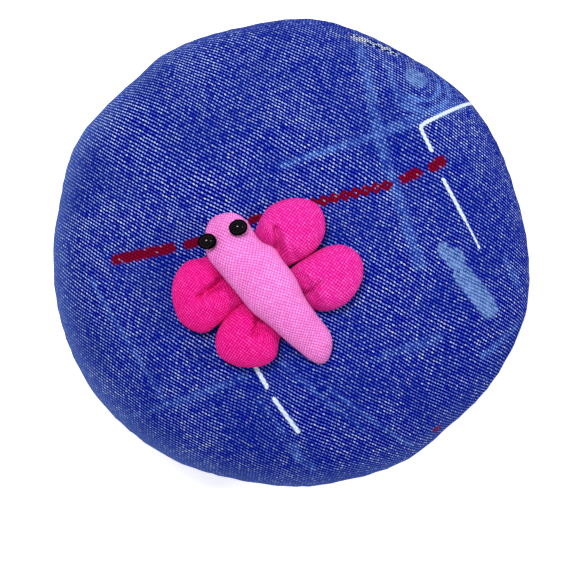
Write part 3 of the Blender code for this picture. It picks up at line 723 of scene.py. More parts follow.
def fiberfill():
    """Loose white polyester fibre."""
    g = Graph("fiberfill")
    place = g.object_place()
    strands = g.noise(g.vec_mul(place, (0.4, 1.5, 0.8)), 1.6, 5.0, 0.75)
    tone = g.mad(strands, 0.7, g.mul(g.noise(place, 0.25), 0.4))
    g.bump(tone, 0.4, 0.8)
    return g.finish(g.mix(tone, (0.62, 0.63, 0.62), (0.95, 0.95, 0.93)), roughness=0.9,
                    sheen_weight=0.4)


def guard_plastic():
    """Milky sheet plastic with fine scuffs."""
    g = Graph("guard_plastic")
    scuffs = g.noise(g.vec_mul(g.object_place(), (0.15, 1.8, 1.0)), 1.0, 3.0, 0.6)
    g.bump(scuffs, 0.02, 0.4)
    return g.finish(g.mix(scuffs, (0.62, 0.65, 0.67), (0.82, 0.84, 0.85)),
                    roughness=g.mad(scuffs, 0.3, 0.25))


def black_glass():
    """Pressed black glass: a mirror that gives back little light, least near its outline."""
    g = Graph("black_glass")
    ripple = g.noise(g.object_place(), 0.6, 1.0)
    g.bump(ripple, 0.03, 0.25)
    colour = g.mix(ripple, (0.015, 0.013, 0.016), (0.021, 0.018, 0.022))
    return g.finish(colour, metallic=1.0, roughness=0.04, specular_tint=(0.04, 0.03, 0.04))


# ---- cushion shapes

def rim_radius(angle):
    """Radius of the cushion's widest line at an angle, on a smooth curve through RIM_RADII."""
    degrees = math.degrees(angle) % 360.0
    count = len(RIM_RADII)
    spot = max(i for i in range(count) if RIM_RADII[i][0] <= degrees)

    def point(i):
        turns, index = divmod(i, count)
        return RIM_RADII[index][0] + 360.0 * turns, RIM_RADII[index][1]

    (a0, r0), (a1, r1), (a2, r2), (a3, r3) = (point(spot + o) for o in (-1, 0, 1, 2))
    span = a2 - a1
    t = (degrees - a1) / span
    near_slope = (r2 - r0) / (a2 - a0) * span
    far_slope = (r3 - r1) / (a3 - a1) * span
    return ((2 * t ** 3 - 3 * t ** 2 + 1) * r1 + (t ** 3 - 2 * t ** 2 + t) * near_slope
            + (3 * t ** 2 - 2 * t ** 3) * r2 + (t ** 3 - t ** 2) * far_slope)


def dome_z(radius, reach, inset=0.0):
    share = min(1.0, radius / (reach - inset)) ** DOME_POWER
    return SEAM_Z + (DOME_RISE - inset) * math.sqrt(1.0 - share)


def swell(x, y):
    """Broad soft unevenness of stuffed cloth."""
    broad = noise.noise(Vector((x / 15.0, y / 15.0, 4.2)))
    small = noise.noise(Vector((x / 6.0, y / 6.0, 9.7)))
    return 0.42 * broad + 0.12 * small


def cushion_top(x, y):
    """Height of the cushion's upper surface."""
    radius = math.hypot(x, y)
    reach = rim_radius(math.atan2(y, x))
    edge = 1.0 - ramp(radius / reach, 0.9, 1.0)
    return dome_z(radius, reach) + swell(x, y) * edge


def pucker(angle, from_seam):
    """How far the seam's stitches pull the cloth in beside them."""
    wander = noise.noise(polar(3.0, angle, 1.0))
    depth = 0.24 + 0.16 * noise.noise(polar(6.0, angle, 7.0))
    folds = 0.5 + 0.5 * math.sin(58.0 * angle + 9.0 * wander)
    return max(0.0, depth) * folds * math.exp(-from_seam / 3.2)


def top_rows():
    """Rings of the upper cover, from its middle to the rim."""
    rows = []
    for i in range(1, DOME_ROWS + 1):
        share = math.sin(math.asin(DOME_REACH) * i / DOME_ROWS)
        row = []
        for angle in COLUMN_ANGLES:
            reach = rim_radius(angle)
            radius = share * reach
            radius -= pucker(angle, dome_z(radius, reach) - SEAM_Z)
            spot = polar(radius, angle, 0.0)
            spot.z = cushion_top(spot.x, spot.y)
            row.append(spot)
        rows.append(row)
    return rows


def base_rows():
    """Rings of the lower cover: its flat middle, which sags beside the strap, and its side."""
    rows = []
    for i in range(1, BASE_ROWS + 1):
        radius = BASE_FLAT_RADIUS * i / BASE_ROWS
        row = [polar(radius, angle, BASE_Z) for angle in COLUMN_ANGLES]
        for spot in row:
            clear = ramp(abs(spot.y), STRAP_HALF_WIDTH + 1.0, STRAP_HALF_WIDTH + 9.0)
            spot.z -= clear * (0.7 - swell(spot.x, spot.y)) * (1.0 - ramp(radius, 20.0, 36.0))
        rows.append(row)
    for i in range(1, SIDE_ROWS + 1):
        turn = math.radians(85.0) * i / SIDE_ROWS
        below = (SEAM_Z - BASE_Z) * math.cos(turn)
        row = []
        for angle in COLUMN_ANGLES:
            radius = BASE_FLAT_RADIUS + (rim_radius(angle) - BASE_FLAT_RADIUS) * math.sin(turn)
            radius -= pucker(angle + 0.02, below)
            spot = polar(radius, angle, 0.0)
            uneven = swell(spot.x, spot.y + 70.0) * ramp(below, 0.0, 5.0) * ramp(turn, 0.0, 0.5)
            row.append(polar(radius + 0.8 * uneven, angle, SEAM_Z - below))
        rows.append(row)
    return rows


def make_cover(name, rows, middle_z, side, material):
    """The upper (1) or lower (-1) cover, which turns into its allowance at the seam."""
    for inwards, rise in SEAM_TURN:
        rows.append([polar(rim_radius(angle) - pucker(angle, 0.3) - inwards, angle,
                           SEAM_Z + side * rise) for angle in COLUMN_ANGLES])
    pole = Vector((0.0, 0.0, middle_z))
    bm = bmesh.new()
    add_grid(bm, rows, radial_flats(rows, pole), (pole, None))
    if side > 0:
        bmesh.ops.reverse_faces(bm, faces=bm.faces)
    piece = to_piece(name, bm, material)
    modifier = piece.modifiers.new("cloth_thickness", "SOLIDIFY")
    modifier.thickness = CLOTH_WALL * MM
    modifier.offset = -1.0
    return piece


def make_rim_stitches(material):
    """Ladder stitches that draw the two covers together in the groove of the rim."""
    bm = bmesh.new()
    for i in range(RIM_STITCHES):
        points = []
        for t in (-1.0, -0.5, 0.0, 0.5, 1.0):
            angle = math.tau * (i + 0.5) / RIM_STITCHES + STITCH_LEAN * t
            radius = rim_radius(angle) - 0.62 - 0.25 * abs(t)
            points.append(polar(radius, angle, SEAM_Z + 0.42 * t))
        add_tube(bm, points, RIM_THREAD_RADIUS, up=Vector((*points[2].xy, 0.0)).normalized())
    hidden = [polar(rim_radius(angle) - 1.15, angle, SEAM_Z)
              for angle in (*COLUMN_ANGLES, math.tau)]
    add_tube(bm, hidden, RIM_THREAD_RADIUS)
    return closed_piece("rim_ladder_stitches", bm, material)


def make_stuffing(material):
    """Fibre packed against the covers, lumpy where nothing presses on it."""
    upper, lower, inset = 20, 10, 1.5
    floor = GUARD_HIGH.z + CLEARANCE
    rows = []
    for i in range(1, upper + lower + 1):
        row = []
        for angle in circle(PLAIN_COLUMNS):
            reach = rim_radius(angle) - inset
            if i <= upper:
                radius = reach * math.sin(math.radians(88.0) * i / upper)
                height = dome_z(radius, reach) - inset
            else:
                down = (i - upper) / lower
                radius = reach - (reach - BASE_FLAT_RADIUS - 4.0) * down ** 2.2
                height = SEAM_Z - (SEAM_Z - floor) * down
            lump = 0.5 * noise.noise(polar(radius, angle, height) / 4.0) - 0.4
            near_seam = math.exp(-((height - SEAM_Z) / 1.8) ** 2)
            radius -= near_seam * (SEAM_ALLOWANCE - 0.6)
            radius *= 1.0 + lump / max(radius, 8.0)
            row.append(polar(radius, angle, max(height + lump, floor)))
        rows.append(row)
    poles = (Vector((0.0, 0.0, rows[0][0].z)), Vector((0.0, 0.0, floor)))
    flats = radial_flats(rows, poles[0])
    return grid_piece("fiberfill_mass", rows, flats, poles, (ORIGIN, flats[-1][0] * 2.0), material)


def make_guard(material):
    """The stiff disc over the base, with eased edges."""
    radius, ease = GUARD_HIGH.x, 0.3
    low, high = GUARD_LOW.z, GUARD_HIGH.z
    half = ((0.5 * radius, 0.0), (radius - 2.0, 0.0), (radius - ease, 0.0), (radius, ease))
    outline = [(r, high - drop) for r, drop in half] + [(r, low + drop) for r, drop in half[::-1]]
    rows = lathe(outline, PLAIN_COLUMNS)
    poles = (Vector((0.0, 0.0, high)), Vector((0.0, 0.0, low)))
    return grid_piece("guard_plate", rows, radial_flats(rows, poles[0]), poles,
                      (ORIGIN, ORIGIN), material)


# ---- dragonfly shapes

def body_place(along, across):
    return BODY_ORIGIN + BODY_DIRECTION * along + BODY_SIDE * across


def body_span(along):
    """Left and right edges of the body at a distance along it."""
    for (a0, l0, r0), (a1, l1, r1) in zip(BODY_OUTLINE, BODY_OUTLINE[1:]):
        if a0 <= along <= a1:
            t = (along - a0) / (a1 - a0)
            return l0 + (l1 - l0) * t, r0 + (r1 - r0) * t
    return 0.0, 0.0


def in_body(place):
    """Distances of a place along and across the body."""
    offset = place - BODY_ORIGIN
    return offset.dot(BODY_DIRECTION), offset.dot(BODY_SIDE)


def body_lift(along):
    rise = ramp(along, BODY_LIFT_START, BODY_LIFT_START + BODY_LIFT_RAMP)
    fall = ramp(along, BODY_LIFT_END - BODY_LIFT_RAMP, BODY_LIFT_END)
    return CLEARANCE + BODY_LIFT * rise * (1.0 - fall)


def bead_dent(along, across):
    depth = 0.0
    for bead_along, bead_across in BEAD_PLACES.values():
        distance = math.hypot(along - bead_along, across - bead_across)
        depth += BEAD_DENT_DEPTH * math.exp(-((distance / BEAD_DENT_RADIUS) ** 2))
    return depth


def above(place, height):
    """A point at a height above the cushion."""
    return Vector((place.x, place.y, cushion_top(place.x, place.y) + height))


def body_rows(inset, stations):
    """Sections of the body from head to tail."""
    rows = []
    for along, left, right in spline(BODY_OUTLINE, stations):
        middle, half = 0.5 * (left + right), max(0.25, 0.5 * (right - left))
        half_height = half * BODY_FLATNESS
        share = max(0.35, 1.0 - inset / half)
        shift = inset * (ramp(-along, -2.0, 4.2) - ramp(along, 28.0, 32.3))
        row = []
        for k in range(BODY_COLUMNS):
            angle = math.tau * (k / BODY_COLUMNS - 0.25)
            across = middle + half * share * math.cos(angle)
            dent = bead_dent(along, across) * max(0.0, math.sin(angle))
            height = body_lift(along) + NOSE_RAISE * ramp(-along, 0.0, 4.3)
            height += half_height * (1.0 + share * math.sin(angle)) - dent
            place = body_place(along + shift, across)
            uneven = 0.18 * noise.noise(Vector((place.x / 3.0, place.y / 3.0, 2.0)))
            row.append(above(place, height + uneven * max(0.0, math.sin(angle))))
        rows.append(row)
    return rows


def ring_flats(rows):
    """Cloth places on a tube: distance along it and round it from its top line."""
    middles = [sum(row, Vector()) / len(row) for row in rows]
    along = 0.0
    result = []
    for row, middle, before in zip(rows, middles, middles[:1] + middles):
        along += (middle - before).length
        round_it = [0.0]
        for a, b in zip(row, row[1:] + row[:1]):
            round_it.append(round_it[-1] + (b - a).length)
        result.append([Vector((along, r - 0.5 * round_it[-1])) for r in round_it])
    return result


def end_flats(flats):
    """Cloth places of a tube's two poles."""
    return [Vector((flats[i][0].x, 0.0)) for i in (0, -1)]


def make_body(name, inset, stations, material):
    rows = body_rows(inset, stations)
    flats = ring_flats(rows)
    ends = [sum(rows[i], Vector()) / BODY_COLUMNS for i in (0, -1)]
    return grid_piece(name, rows, flats, ends, end_flats(flats), material)


def headroom(place):
    """Free height for a wing: low under the body, rising beside it."""
    along, across = in_body(place)
    left, right = body_span(along)
    half = max(0.0, -left if across < 0.0 else right)
    beside = max(0.0, abs(across) - 0.55 * half)
    return min(WING_HEIGHT + CLEARANCE, body_lift(along) - 0.5 + 1.25 * beside)


def crease_depth(place, creases):
    """Share of a wing's height that its gathers take away: most in the first crease."""
    depth = 0.0
    for number, crease in enumerate(creases):
        steps = list(zip(crease, crease[1:]))
        strength, breadth = (0.62, 1.0) if number == 0 else (0.24, 0.65)
        for i, (start, end) in enumerate(steps):
            start, end = Vector(start), Vector(end)
            reach = end - start
            t = min(1.0, max(0.0, (place - start).dot(reach) / reach.length_squared))
            distance = (place - start - reach * t).length
            run = (i + t) / len(steps)
            width = CREASE_WIDTH * breadth * (1.0 - 0.4 * run)
            depth = max(depth, strength * (1.0 - 0.5 * run) * math.exp(-((distance / width) ** 2)))
    return depth


def wing_rows(outline, creases, inset, columns, fullness):
    """Rings of a padded lobe: over its top, round its rim and under it."""
    points = spline(outline, columns, closed=True)
    centre = sum(points, ORIGIN) / len(points)
    levels = [(math.sin(0.5 * math.pi * i / WING_RINGS), 1.0) for i in range(1, WING_RINGS)]
    levels += [(1.0, 0.0)] + [(share, -1.0) for share in (0.99, 0.965, 0.92, 0.8, 0.55, 0.25)]
    rows = []
    for share, side in levels:
        row = []
        for point in points:
            spoke = point - centre
            place = centre + spoke * share * (1.0 - inset / spoke.length)
            room = fullness * (headroom(place) - CLEARANCE)
            if side > 0.0:
                room *= 1.0 - crease_depth(place, creases)
            power, reach = (2.3, 1.0 - WING_EDGE_HEIGHT) if side > 0.0 else (5.0, WING_EDGE_HEIGHT)
            part = WING_EDGE_HEIGHT + side * reach * math.sqrt(max(0.0, 1.0 - share ** power))
            sink = min(inset, 0.45 * room)
            row.append(above(place, CLEARANCE + sink + (room - 2.0 * sink) * part))
        rows.append(row)
    return rows, centre


def make_wing(name, outline, creases, inset, columns, fullness, material):
    rows, centre = wing_rows(outline, creases, inset, columns, fullness)
    poles = [Vector((*centre, sum(p.z for p in rows[i]) / columns)) for i in (0, -1)]
    flats = radial_flats(rows, poles[0])
    return grid_piece(name, rows, flats, poles, (ORIGIN, flats[-1][0] * 1.2), material)


# ---- cloth simulation

SIM_SCALE = 30.0
SIM_FRAMES = 20
SIM_SETTINGS = {
    "quality": 6, "mass": 0.3, "tension_stiffness": 12.0, "compression_stiffness": 12.0,
    "shear_stiffness": 6.0, "bending_stiffness": 0.4, "use_pressure": True,
}


def simulate(jobs):
    """Puff up several pieces at once: (piece, pinned test, pressure, cap in millimetres).

    Each piece gets an enlarged stand-in with Cloth, because the solver suits pads of about
    half a metre. The stand-in's result is copied back, and no point moves past the cap.
    """
    scene = bpy.context.scene
    stand_ins = []
    for piece, pinned, pressure, _ in jobs:
        mesh = piece.data.copy()
        mesh.transform(Matrix.Scale(SIM_SCALE, 4))
        stand_in = add_object(piece.name + "_sim", mesh)
        group = stand_in.vertex_groups.new(name="pinned")
        group.add([v.index for v in piece.data.vertices if pinned(v.co / MM)], 1.0, "REPLACE")
        modifier = stand_in.modifiers.new("Cloth", "CLOTH")
        settings = modifier.settings
        for key, value in SIM_SETTINGS.items():
            setattr(settings, key, value)
        settings.effector_weights.gravity = 0.0
        settings.uniform_pressure_force = pressure
        settings.vertex_group_mass = group.name
        modifier.collision_settings.use_collision = False
        modifier.point_cache.frame_start = 1
        modifier.point_cache.frame_end = SIM_FRAMES
        stand_ins.append(stand_in)
    for number in range(1, SIM_FRAMES + 1):
        scene.frame_set(number)
    graph = bpy.context.evaluated_depsgraph_get()
    for (piece, _, _, cap), stand_in in zip(jobs, stand_ins):
        moved = stand_in.evaluated_get(graph).to_mesh()
        for vert, target in zip(piece.data.vertices, moved.vertices):
            step = target.co / SIM_SCALE - vert.co
            if step.length > cap * MM:
                step *= cap * MM / step.length
            vert.co += step
        stand_in.evaluated_get(graph).to_mesh_clear()
        bpy.data.objects.remove(stand_in, do_unlink=True)
    scene.frame_set(1)


def pinned_wing(creases):
    """The gathered root, the crease and the underside stay where they are sewn."""
    def test(point):
        height = point.z - cushion_top(point.x, point.y)
        return (height < 1.0 or headroom(point.xy) < WING_HEIGHT - 3.2
                or crease_depth(point.xy, creases) > 0.35)
    return test


def pinned_body(point):
    along, across = in_body(point.xy)
    height = point.z - cushion_top(point.x, point.y)
    return height < body_lift(along) + 1.0 or bead_dent(along, across) > 0.5


def subdivide(piece):
    modifier = piece.modifiers.new("fine_surface", "SUBSURF")
    modifier.levels = 1
    modifier.render_levels = 1


# ---- beads and small threads

def bead_centre(side):
    """The bead's middle, drawn down into the padding by its thread."""
    low, high = cad("bead_eye_" + side)
    return 0.5 * (low + high) - Vector((0.0, 0.0, BEAD_SINK))


def make_bead(side, material):
    """A round seed bead with a hole along BEAD_AXIS."""
    start = math.asin(BEAD_HOLE / BEAD_RADIUS)
    outline = []
    for i in range(17):
        turn = start + (math.pi - 2.0 * start) * i / 16
        outline.append((BEAD_RADIUS * math.sin(turn), BEAD_HALF_LENGTH * math.cos(turn)))
    bore, end_z = BEAD_HOLE - 0.05, outline[0][1]
    rows = lathe(outline + [(bore, 0.12 - end_z), (bore, end_z - 0.12), outline[0]], 40)
    bm = bmesh.new()
    add_grid(bm, rows, radial_flats(rows, Vector()))
    bmesh.ops.remove_doubles(bm, verts=bm.verts, dist=1e-4)
    heading = Vector((*BEAD_AXIS, 0.0)).to_track_quat("Z", "Y").to_matrix().to_4x4()
    bmesh.ops.transform(bm, matrix=Matrix.Translation(bead_centre(side)) @ heading, verts=bm.verts)
    return closed_piece("glass_bead_" + side, bm, material)


def make_bead_thread(side, material):
    """Two strands through the bead that turn down into the head at both ends."""
    half = ((0.7, -2.3), (1.15, -1.6), (1.5, -0.9), (1.62, -0.35), (1.4, 0.0))
    route = [(-along, z) for along, z in half] + [(0.0, 0.0), *half[::-1]]
    runs = []
    for shift in (-0.14, 0.14):
        points = [bead_centre(side) + Vector((BEAD_AXIS.x * along - BEAD_AXIS.y * shift,
                                              BEAD_AXIS.y * along + BEAD_AXIS.x * shift, z))
                  for along, z in route]
        runs.append(spline(points, 41))
    return thread_piece("bead_stitch_" + side, runs, 0.12, material)


def make_closing_stitches(material):
    """Small overcast stitches along the slit under the body."""
    runs = []
    for i in range(9):
        along = 8.4 + 0.9 * i
        runs.append([above(body_place(along + 0.25 * t, 0.7 * t),
                           body_lift(along) - 0.05 - 0.12 * (1.0 - abs(t)))
                     for t in (-1.0, -0.5, 0.0, 0.5, 1.0)])
    return thread_piece("body_closing_stitches", runs, 0.11, material)


def make_gather(name, outline, material):
    """Thread wound through the gathered mouth of a wing."""
    root = 0.5 * (Vector(outline[0]) + Vector(outline[-1]))
    to_body = (body_place(in_body(root)[0], 0.0) - root).normalized()
    runs = []
    for shift in (-1.35, -0.45, 0.45, 1.35):
        points = []
        for k in range(7):
            swing, rise = math.cos(math.pi * k / 6.0), math.sin(math.pi * k / 6.0)
            place = root + BODY_DIRECTION * (shift + 0.2 * swing) + to_body * (0.9 * swing)
            points.append(above(place, 0.6 + 0.9 * rise))
        runs.append(points)
    return thread_piece(name + "_gathers", runs, 0.12, material)


# ---- strap

def bend_radius(tail_z):
    return 0.5 * (RUN_Z - tail_z)


def bend_points(side, tail_z, start):
    """A quarter of the strap's half turn: 90 degrees is the middle run, -90 the tail."""
    radius = bend_radius(tail_z)
    result = []
    for i in range(BEND_STEPS + 1):
        spot = polar(radius, math.radians(start - 90.0 * i / BEND_STEPS), 0.0)
        result.append(Vector((side * (LOOP_HALF - radius + spot.x), tail_z + radius + spot.y)))
    return result


def strap_section():
    """Round the webbing: (across, out) with soft edges and a slightly thicker selvedge."""
    upper = []
    for share in (-1.0, -0.97, -0.93, -0.88, -0.6, -0.3, 0.0, 0.3, 0.6, 0.88, 0.93, 0.97, 1.0):
        edge = abs(share)
        body = 0.86 + 0.14 * ramp(edge, 0.85, 0.92)
        body *= math.sqrt(max(0.0, 1.0 - ramp(edge, 0.94, 1.001) ** 2))
        upper.append((share * STRAP_HALF_WIDTH, 0.5 * STRAP_THICKNESS * body))
    return upper + [(across, -out) for across, out in upper[-2:0:-1]]


def make_strap_piece(name, line, material, reach):
    """Webbing along a centre line in the XZ plane; reach keeps the weave going."""
    section = strap_section()
    rows, flats = [], []
    for before, point, after in zip(line[:1] + line, line, line[1:] + line[-1:]):
        forward = (after - before).normalized()
        normal = Vector((-forward.y, forward.x))
        reach += (point - before).length
        spots = [(point + normal * out, across) for across, out in section]
        rows.append([Vector((spot.x, across, spot.y)) for spot, across in spots])
        flat = [Vector((reach, across)) for across, _ in section]
        flats.append(flat + flat[:1])
    caps = [Vector((line[i].x, 0.0, line[i].y)) for i in (0, -1)]
    bm = bmesh.new()
    add_grid(bm, rows, flats, caps, end_flats(flats))
    bmesh.ops.recalc_face_normals(bm, faces=bm.faces)
    for edge in bm.edges:
        if len(edge.link_faces) == 2 and edge.calc_face_angle() > SHARP_ANGLE:
            edge.smooth = False
    return to_piece(name, bm, material)


def straight(start, end, step=1.0):
    count = max(2, int(abs(end.x - start.x) / step))
    return [start + (end - start) * (i / count) for i in range(count + 1)]


def make_strap(material):
    """The middle run, and on each side two turns and a tail."""
    hook_inner, loop_inner = (LOOP_HALF - bend_radius(z) for z in (HOOK_TAIL_Z, LOOP_TAIL_Z))
    run = straight(Vector((-loop_inner, RUN_Z)), Vector((hook_inner, RUN_Z)), 2.0)
    middle = make_strap_piece("strap_run", run, material, -loop_inner)
    settle(middle, "cushion", "webbing", "strap_middle")
    for word, side, tail_z, inner, tip_x, bend_node in (
            ("hook", 1.0, HOOK_TAIL_Z, hook_inner, cad("strap_hook_tail")[0].x, "strap_bend_right"),
            ("loop", -1.0, LOOP_TAIL_Z, loop_inner, cad("strap_loop_tail")[1].x, "strap_bend_left")):
        quarter = 0.5 * math.pi * bend_radius(tail_z)
        bend_body, tail_body = word + "_side_bend", word + "_side_tail"
        upper_line = bend_points(side, tail_z, 90.0)
        upper = make_strap_piece(word + "_side_upper_turn", upper_line, material, inner)
        lower_line = bend_points(side, tail_z, 0.0)
        lower = make_strap_piece(word + "_side_lower_turn", lower_line, material, inner + quarter)
        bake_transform(upper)
        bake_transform(lower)
        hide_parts(bend_node)
        line = straight(Vector((side * inner, tail_z)), Vector((tip_x, tail_z)))
        tail = make_strap_piece(word + "_tail", line, material, inner + 2.0 * quarter)
        settle(tail, tail_body, "webbing", "strap_" + word + "_tail")


# ---- stitches and patches

def stitch_row(start, end, pitch, foot, up):
    """Stitches in a straight row, each sinking in at both ends."""
    start, end = Vector(start), Vector(end)
    count = max(1, round((end - start).length / pitch))
    step = (end - start) / count
    runs = []
    for i in range(count):
        points = []
        for t in (0.06, 0.2, 0.5, 0.8, 0.94):
            sink = 0.30 * (abs(t - 0.5) / 0.44) ** 3
            points.append(Vector((*(start + step * (i + t)), foot - up * sink)))
        runs.append(points)
    return runs


def make_box(name, low, high, inset, crossed, pitch, foot, up, radius, material):
    """Rows of stitches round a rectangle, and from corner to corner if it is crossed."""
    x0, y0, x1, y1 = low.x + inset, low.y + inset, high.x - inset, high.y - inset
    corners = [(x0, y0), (x1, y0), (x1, y1), (x0, y1)]
    pairs = list(zip(corners, corners[1:] + corners[:1]))
    if crossed:
        pairs += [(corners[0], corners[2]), (corners[1], corners[3])]
    runs = []
    for start, end in pairs:
        runs += stitch_row(start, end, pitch, foot, up)
    return thread_piece(name, runs, radius, material, flatten=0.7)


def pile_point(word, j, x, y):
    """One hook or loop: its foot, reach, thickness, sides and (share of reach, height) steps."""
    if word == "hook":
        reach = Vector((HOOK_LEAN if j % 2 else -HOOK_LEAN, 0.0))
        steps = ((0.0, -0.05), (0.0, 0.26), (0.4, 0.42), (1.3, 0.46), (1.9, 0.34))
        return x, y, reach, 0.085, 4, steps
    x += random.uniform(-0.25, 0.25)
    y += random.uniform(-0.25, 0.25)
    turn = random.uniform(0.0, math.tau)
    rise = random.uniform(0.3, 0.48)
    reach = Vector((math.cos(turn), math.sin(turn))) * random.uniform(0.25, 0.45)
    steps = ((-1.0, -0.05), (-0.7, 0.7 * rise), (0.0, rise), (0.7, 0.7 * rise), (1.0, -0.05))
    return x, y, reach, 0.07, 3, steps


def make_patch(word, up, body, material, thread_material):
    """A hook or loop patch: rounded backing, its pile, and the stitches round its edge."""
    low, high = cad(word + "_patch")
    centre, half = 0.5 * (low + high), 0.5 * (high - low)
    foot = low.z if up > 0 else high.z
    top = foot + up * PATCH_BASE
    ring = []
    for k in range(4):
        turn = math.radians(45.0 + 90.0 * k)
        corner = Vector((math.copysign(half.x - PATCH_CORNER, math.cos(turn)),
                         math.copysign(half.y - PATCH_CORNER, math.sin(turn))))
        ring += [corner + polar(PATCH_CORNER, math.radians(90.0 * k + 22.5 * i), 0.0).xy
                 for i in range(5)]
    rows = []
    for inset, rise in ((0.3, 0.0), (0.0, 0.12), (0.0, 0.36), (0.25, PATCH_BASE)):
        rows.append([Vector((*(centre.xy + way * (1.0 - inset / way.length)), foot + up * rise))
                     for way in ring])
    flats = [[p.xy for p in row + row[:1]] for row in rows]
    ends = [Vector((centre.x, centre.y, z)) for z in (foot, top)]
    bm = bmesh.new()
    add_grid(bm, rows, flats, ends, [centre.xy] * 2)
    bmesh.ops.recalc_face_normals(bm, faces=bm.faces)
    random.seed(7)
    pitch = HOOK_PITCH if word == "hook" else LOOP_PITCH
    columns = int((high.x - low.x - 2 * PATCH_MARGIN) / pitch)
    lines = int((high.y - low.y - 2 * PATCH_MARGIN) / pitch)
    for i in range(columns + 1):
        for j in range(lines + 1):
            x, y, reach, radius, sides, steps = pile_point(
                word, j, low.x + PATCH_MARGIN + pitch * i, low.y + PATCH_MARGIN + pitch * j)
            add_tube(bm, [(x + t * reach.x, y + t * reach.y, top + up * z) for t, z in steps],
                     radius, sides)
    patch = to_piece(word + "_tape_patch", bm, material)
    settle(patch, body, word + "_tape", word + "_patch")
    stitches = make_box(word + "_tape_stitches", low, high, 0.9, False, 2.2, top + up * 0.08, up,
                        0.17, thread_material)
    settle(stitches, body, "navy_thread", word + "_patch_stitches")


# ---- stage

def make_floor():
    size = 3.0
    mesh = bpy.data.meshes.new("floor")
    mesh.from_pydata([(-size, -size, 0), (size, -size, 0), (size, size, 0), (-size, size, 0)],
                     [], [(0, 1, 2, 3)])
    g = Graph("floor")
    colour = g.mix(g.noise(g.object_place(), 0.5), (0.93, 0.93, 0.93), (0.96, 0.96, 0.96))
    mesh.materials.append(g.finish(colour, roughness=0.6, specular_ior_level=0.2,
                                   emission_color=(1.0, 1.0, 1.0), emission_strength=0.6))
    floor = add_object("floor", mesh)
    floor.location.z = CAD_BOX[0].z - 0.0003


def add_light(name, place, size, watts):
    light = bpy.data.lights.new(name, "AREA")
    light.shape = "DISK"
    light.size = size
    light.energy = watts
    made = add_object(name, light)
    made.location = place
    aim = Vector((0.0, 0.0, 0.04)) - Vector(place)
    made.rotation_euler = aim.to_track_quat("-Z", "Y").to_euler()


def make_stage():
    make_floor()
    scene = bpy.context.scene
    scene.world = bpy.data.worlds.new("studio")
    scene.world.use_nodes = True
    background = scene.world.node_tree.nodes["Background"]
    background.inputs["Color"].default_value = (1.0, 1.0, 1.0, 1.0)
    background.inputs["Strength"].default_value = 0.42
    add_light("soft_overhead", (-0.15, 0.25, 0.92), 0.28, 6.6)
    add_light("right_window", (0.6, 0.05, 0.58), 0.06, 1.8)
    scene.view_settings.view_transform = "Standard"

    camera = bpy.data.cameras.new("camera")
    camera.sensor_width = 36.0
    camera.lens = 191.3
    camera.clip_start = 0.05
    camera.clip_end = 10.0
    scene.camera = add_object("camera", camera)
    scene.camera.location = (-0.00051, -0.00716, 0.654)


# ---- assembly

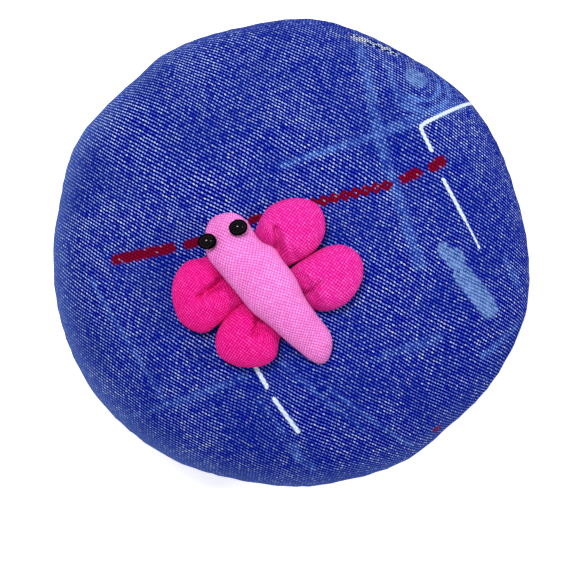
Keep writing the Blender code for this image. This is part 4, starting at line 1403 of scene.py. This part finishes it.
def main():
    make_stage()
    denim_print = denim("printed_denim", True)
    denim_plain = denim("plain_denim", False)
    navy = thread("navy_thread", (0.004, 0.010, 0.05), (0.03, 0.06, 0.22))
    pink_thread = thread("pink_thread", (0.45, 0.02, 0.16), (0.9, 0.12, 0.45))
    black_thread = thread("black_thread", (0.004, 0.004, 0.005), (0.03, 0.03, 0.035))
    pale_pink = cotton("pale_pink_cotton", (0.55, 0.05, 0.32), (0.87, 0.24, 0.68),
                       (0.96, 0.36, 0.85), 0.65, 0.4)
    hot_pink = {
        "right": cotton("hot_pink_cotton", (0.40, 0.001, 0.12), (0.90, 0.026, 0.39),
                        (1.0, 0.13, 0.60), 0.8, 0.15),
        "left": cotton("hot_pink_cotton_left", (0.40, 0.001, 0.08), (0.92, 0.010, 0.30),
                       (1.0, 0.065, 0.46), 0.8, 0.15),
    }
    fill = fiberfill()

    top = make_cover("denim_top", top_rows(), cushion_top(0.0, 0.0), 1.0, denim_print)
    settle(top, "cushion", "denim", "top_cover")
    back = make_cover("denim_back", base_rows(), BASE_Z, -1.0, denim_plain)
    settle(back, "cushion", "denim", "back_cover")
    settle(make_rim_stitches(navy), "cushion", "navy_thread", "rim_seam_thread")
    settle(make_stuffing(fill), "cushion", "fiberfill", "fiberfill_stuffing")
    settle(make_guard(guard_plastic()), "cushion", "guard_plastic", "wrist_guard_disc")

    jobs = []
    body = make_body("dragonfly_body", 0.25, 44, pale_pink)
    jobs.append((body, pinned_body, 2.0, 0.45))
    filling = make_body("dragonfly_body_fill", 1.2, 30, fill)
    settle(filling, "cushion", "fiberfill", "body_filling")
    wings = []
    for name, (outline, creases) in WINGS.items():
        side = "right" if "right" in name else "left"
        wing = make_wing(name, outline, creases, 0.15, WING_COLUMNS, 1.0, hot_pink[side])
        wings.append((name, wing))
        jobs.append((wing, pinned_wing(creases), 4.0, 0.9))
        filling = make_wing(name + "_fill", outline, creases, 2.0, 64, 0.7, fill)
        settle(filling, "cushion", "fiberfill", name + "_filling")
        gathers = make_gather(name, outline, pink_thread)
        settle(gathers, "cushion", "pink_thread", name + "_gather_thread")
    simulate(jobs)
    for name, wing in wings:
        subdivide(wing)
        settle(wing, "cushion", "hot_pink_cotton", name + "_cover")
    subdivide(body)
    settle(body, "cushion", "pale_pink_cotton", "body_cover")
    settle(make_closing_stitches(pink_thread), "cushion", "pink_thread", "body_closing_thread")

    glass = black_glass()
    for side in BEAD_PLACES:
        settle(make_bead(side, glass), "cushion", "black_glass", "bead_eye_" + side)
        settle(make_bead_thread(side, black_thread), "cushion", "black_thread",
               "bead_thread_" + side)

    make_strap(webbing())
    for word in ("left", "right"):
        low, high = cad("box_stitch_" + word)
        piece = make_box("box_stitches_" + word, low, high, 0.3, True, 2.4, RUN_LOW_Z + 0.02,
                         -1.0, 0.2, navy)
        settle(piece, "cushion", "navy_thread", "box_stitch_" + word)
    hook_tape = tape("hook_tape", (0.004, 0.005, 0.009), (0.03, 0.032, 0.045), 0.45)
    loop_tape = tape("loop_tape", (0.003, 0.004, 0.008), (0.03, 0.034, 0.05), 0.9)
    make_patch("hook", 1.0, "hook_side_tail", hook_tape, navy)
    make_patch("loop", -1.0, "loop_side_tail", loop_tape, navy)


main()
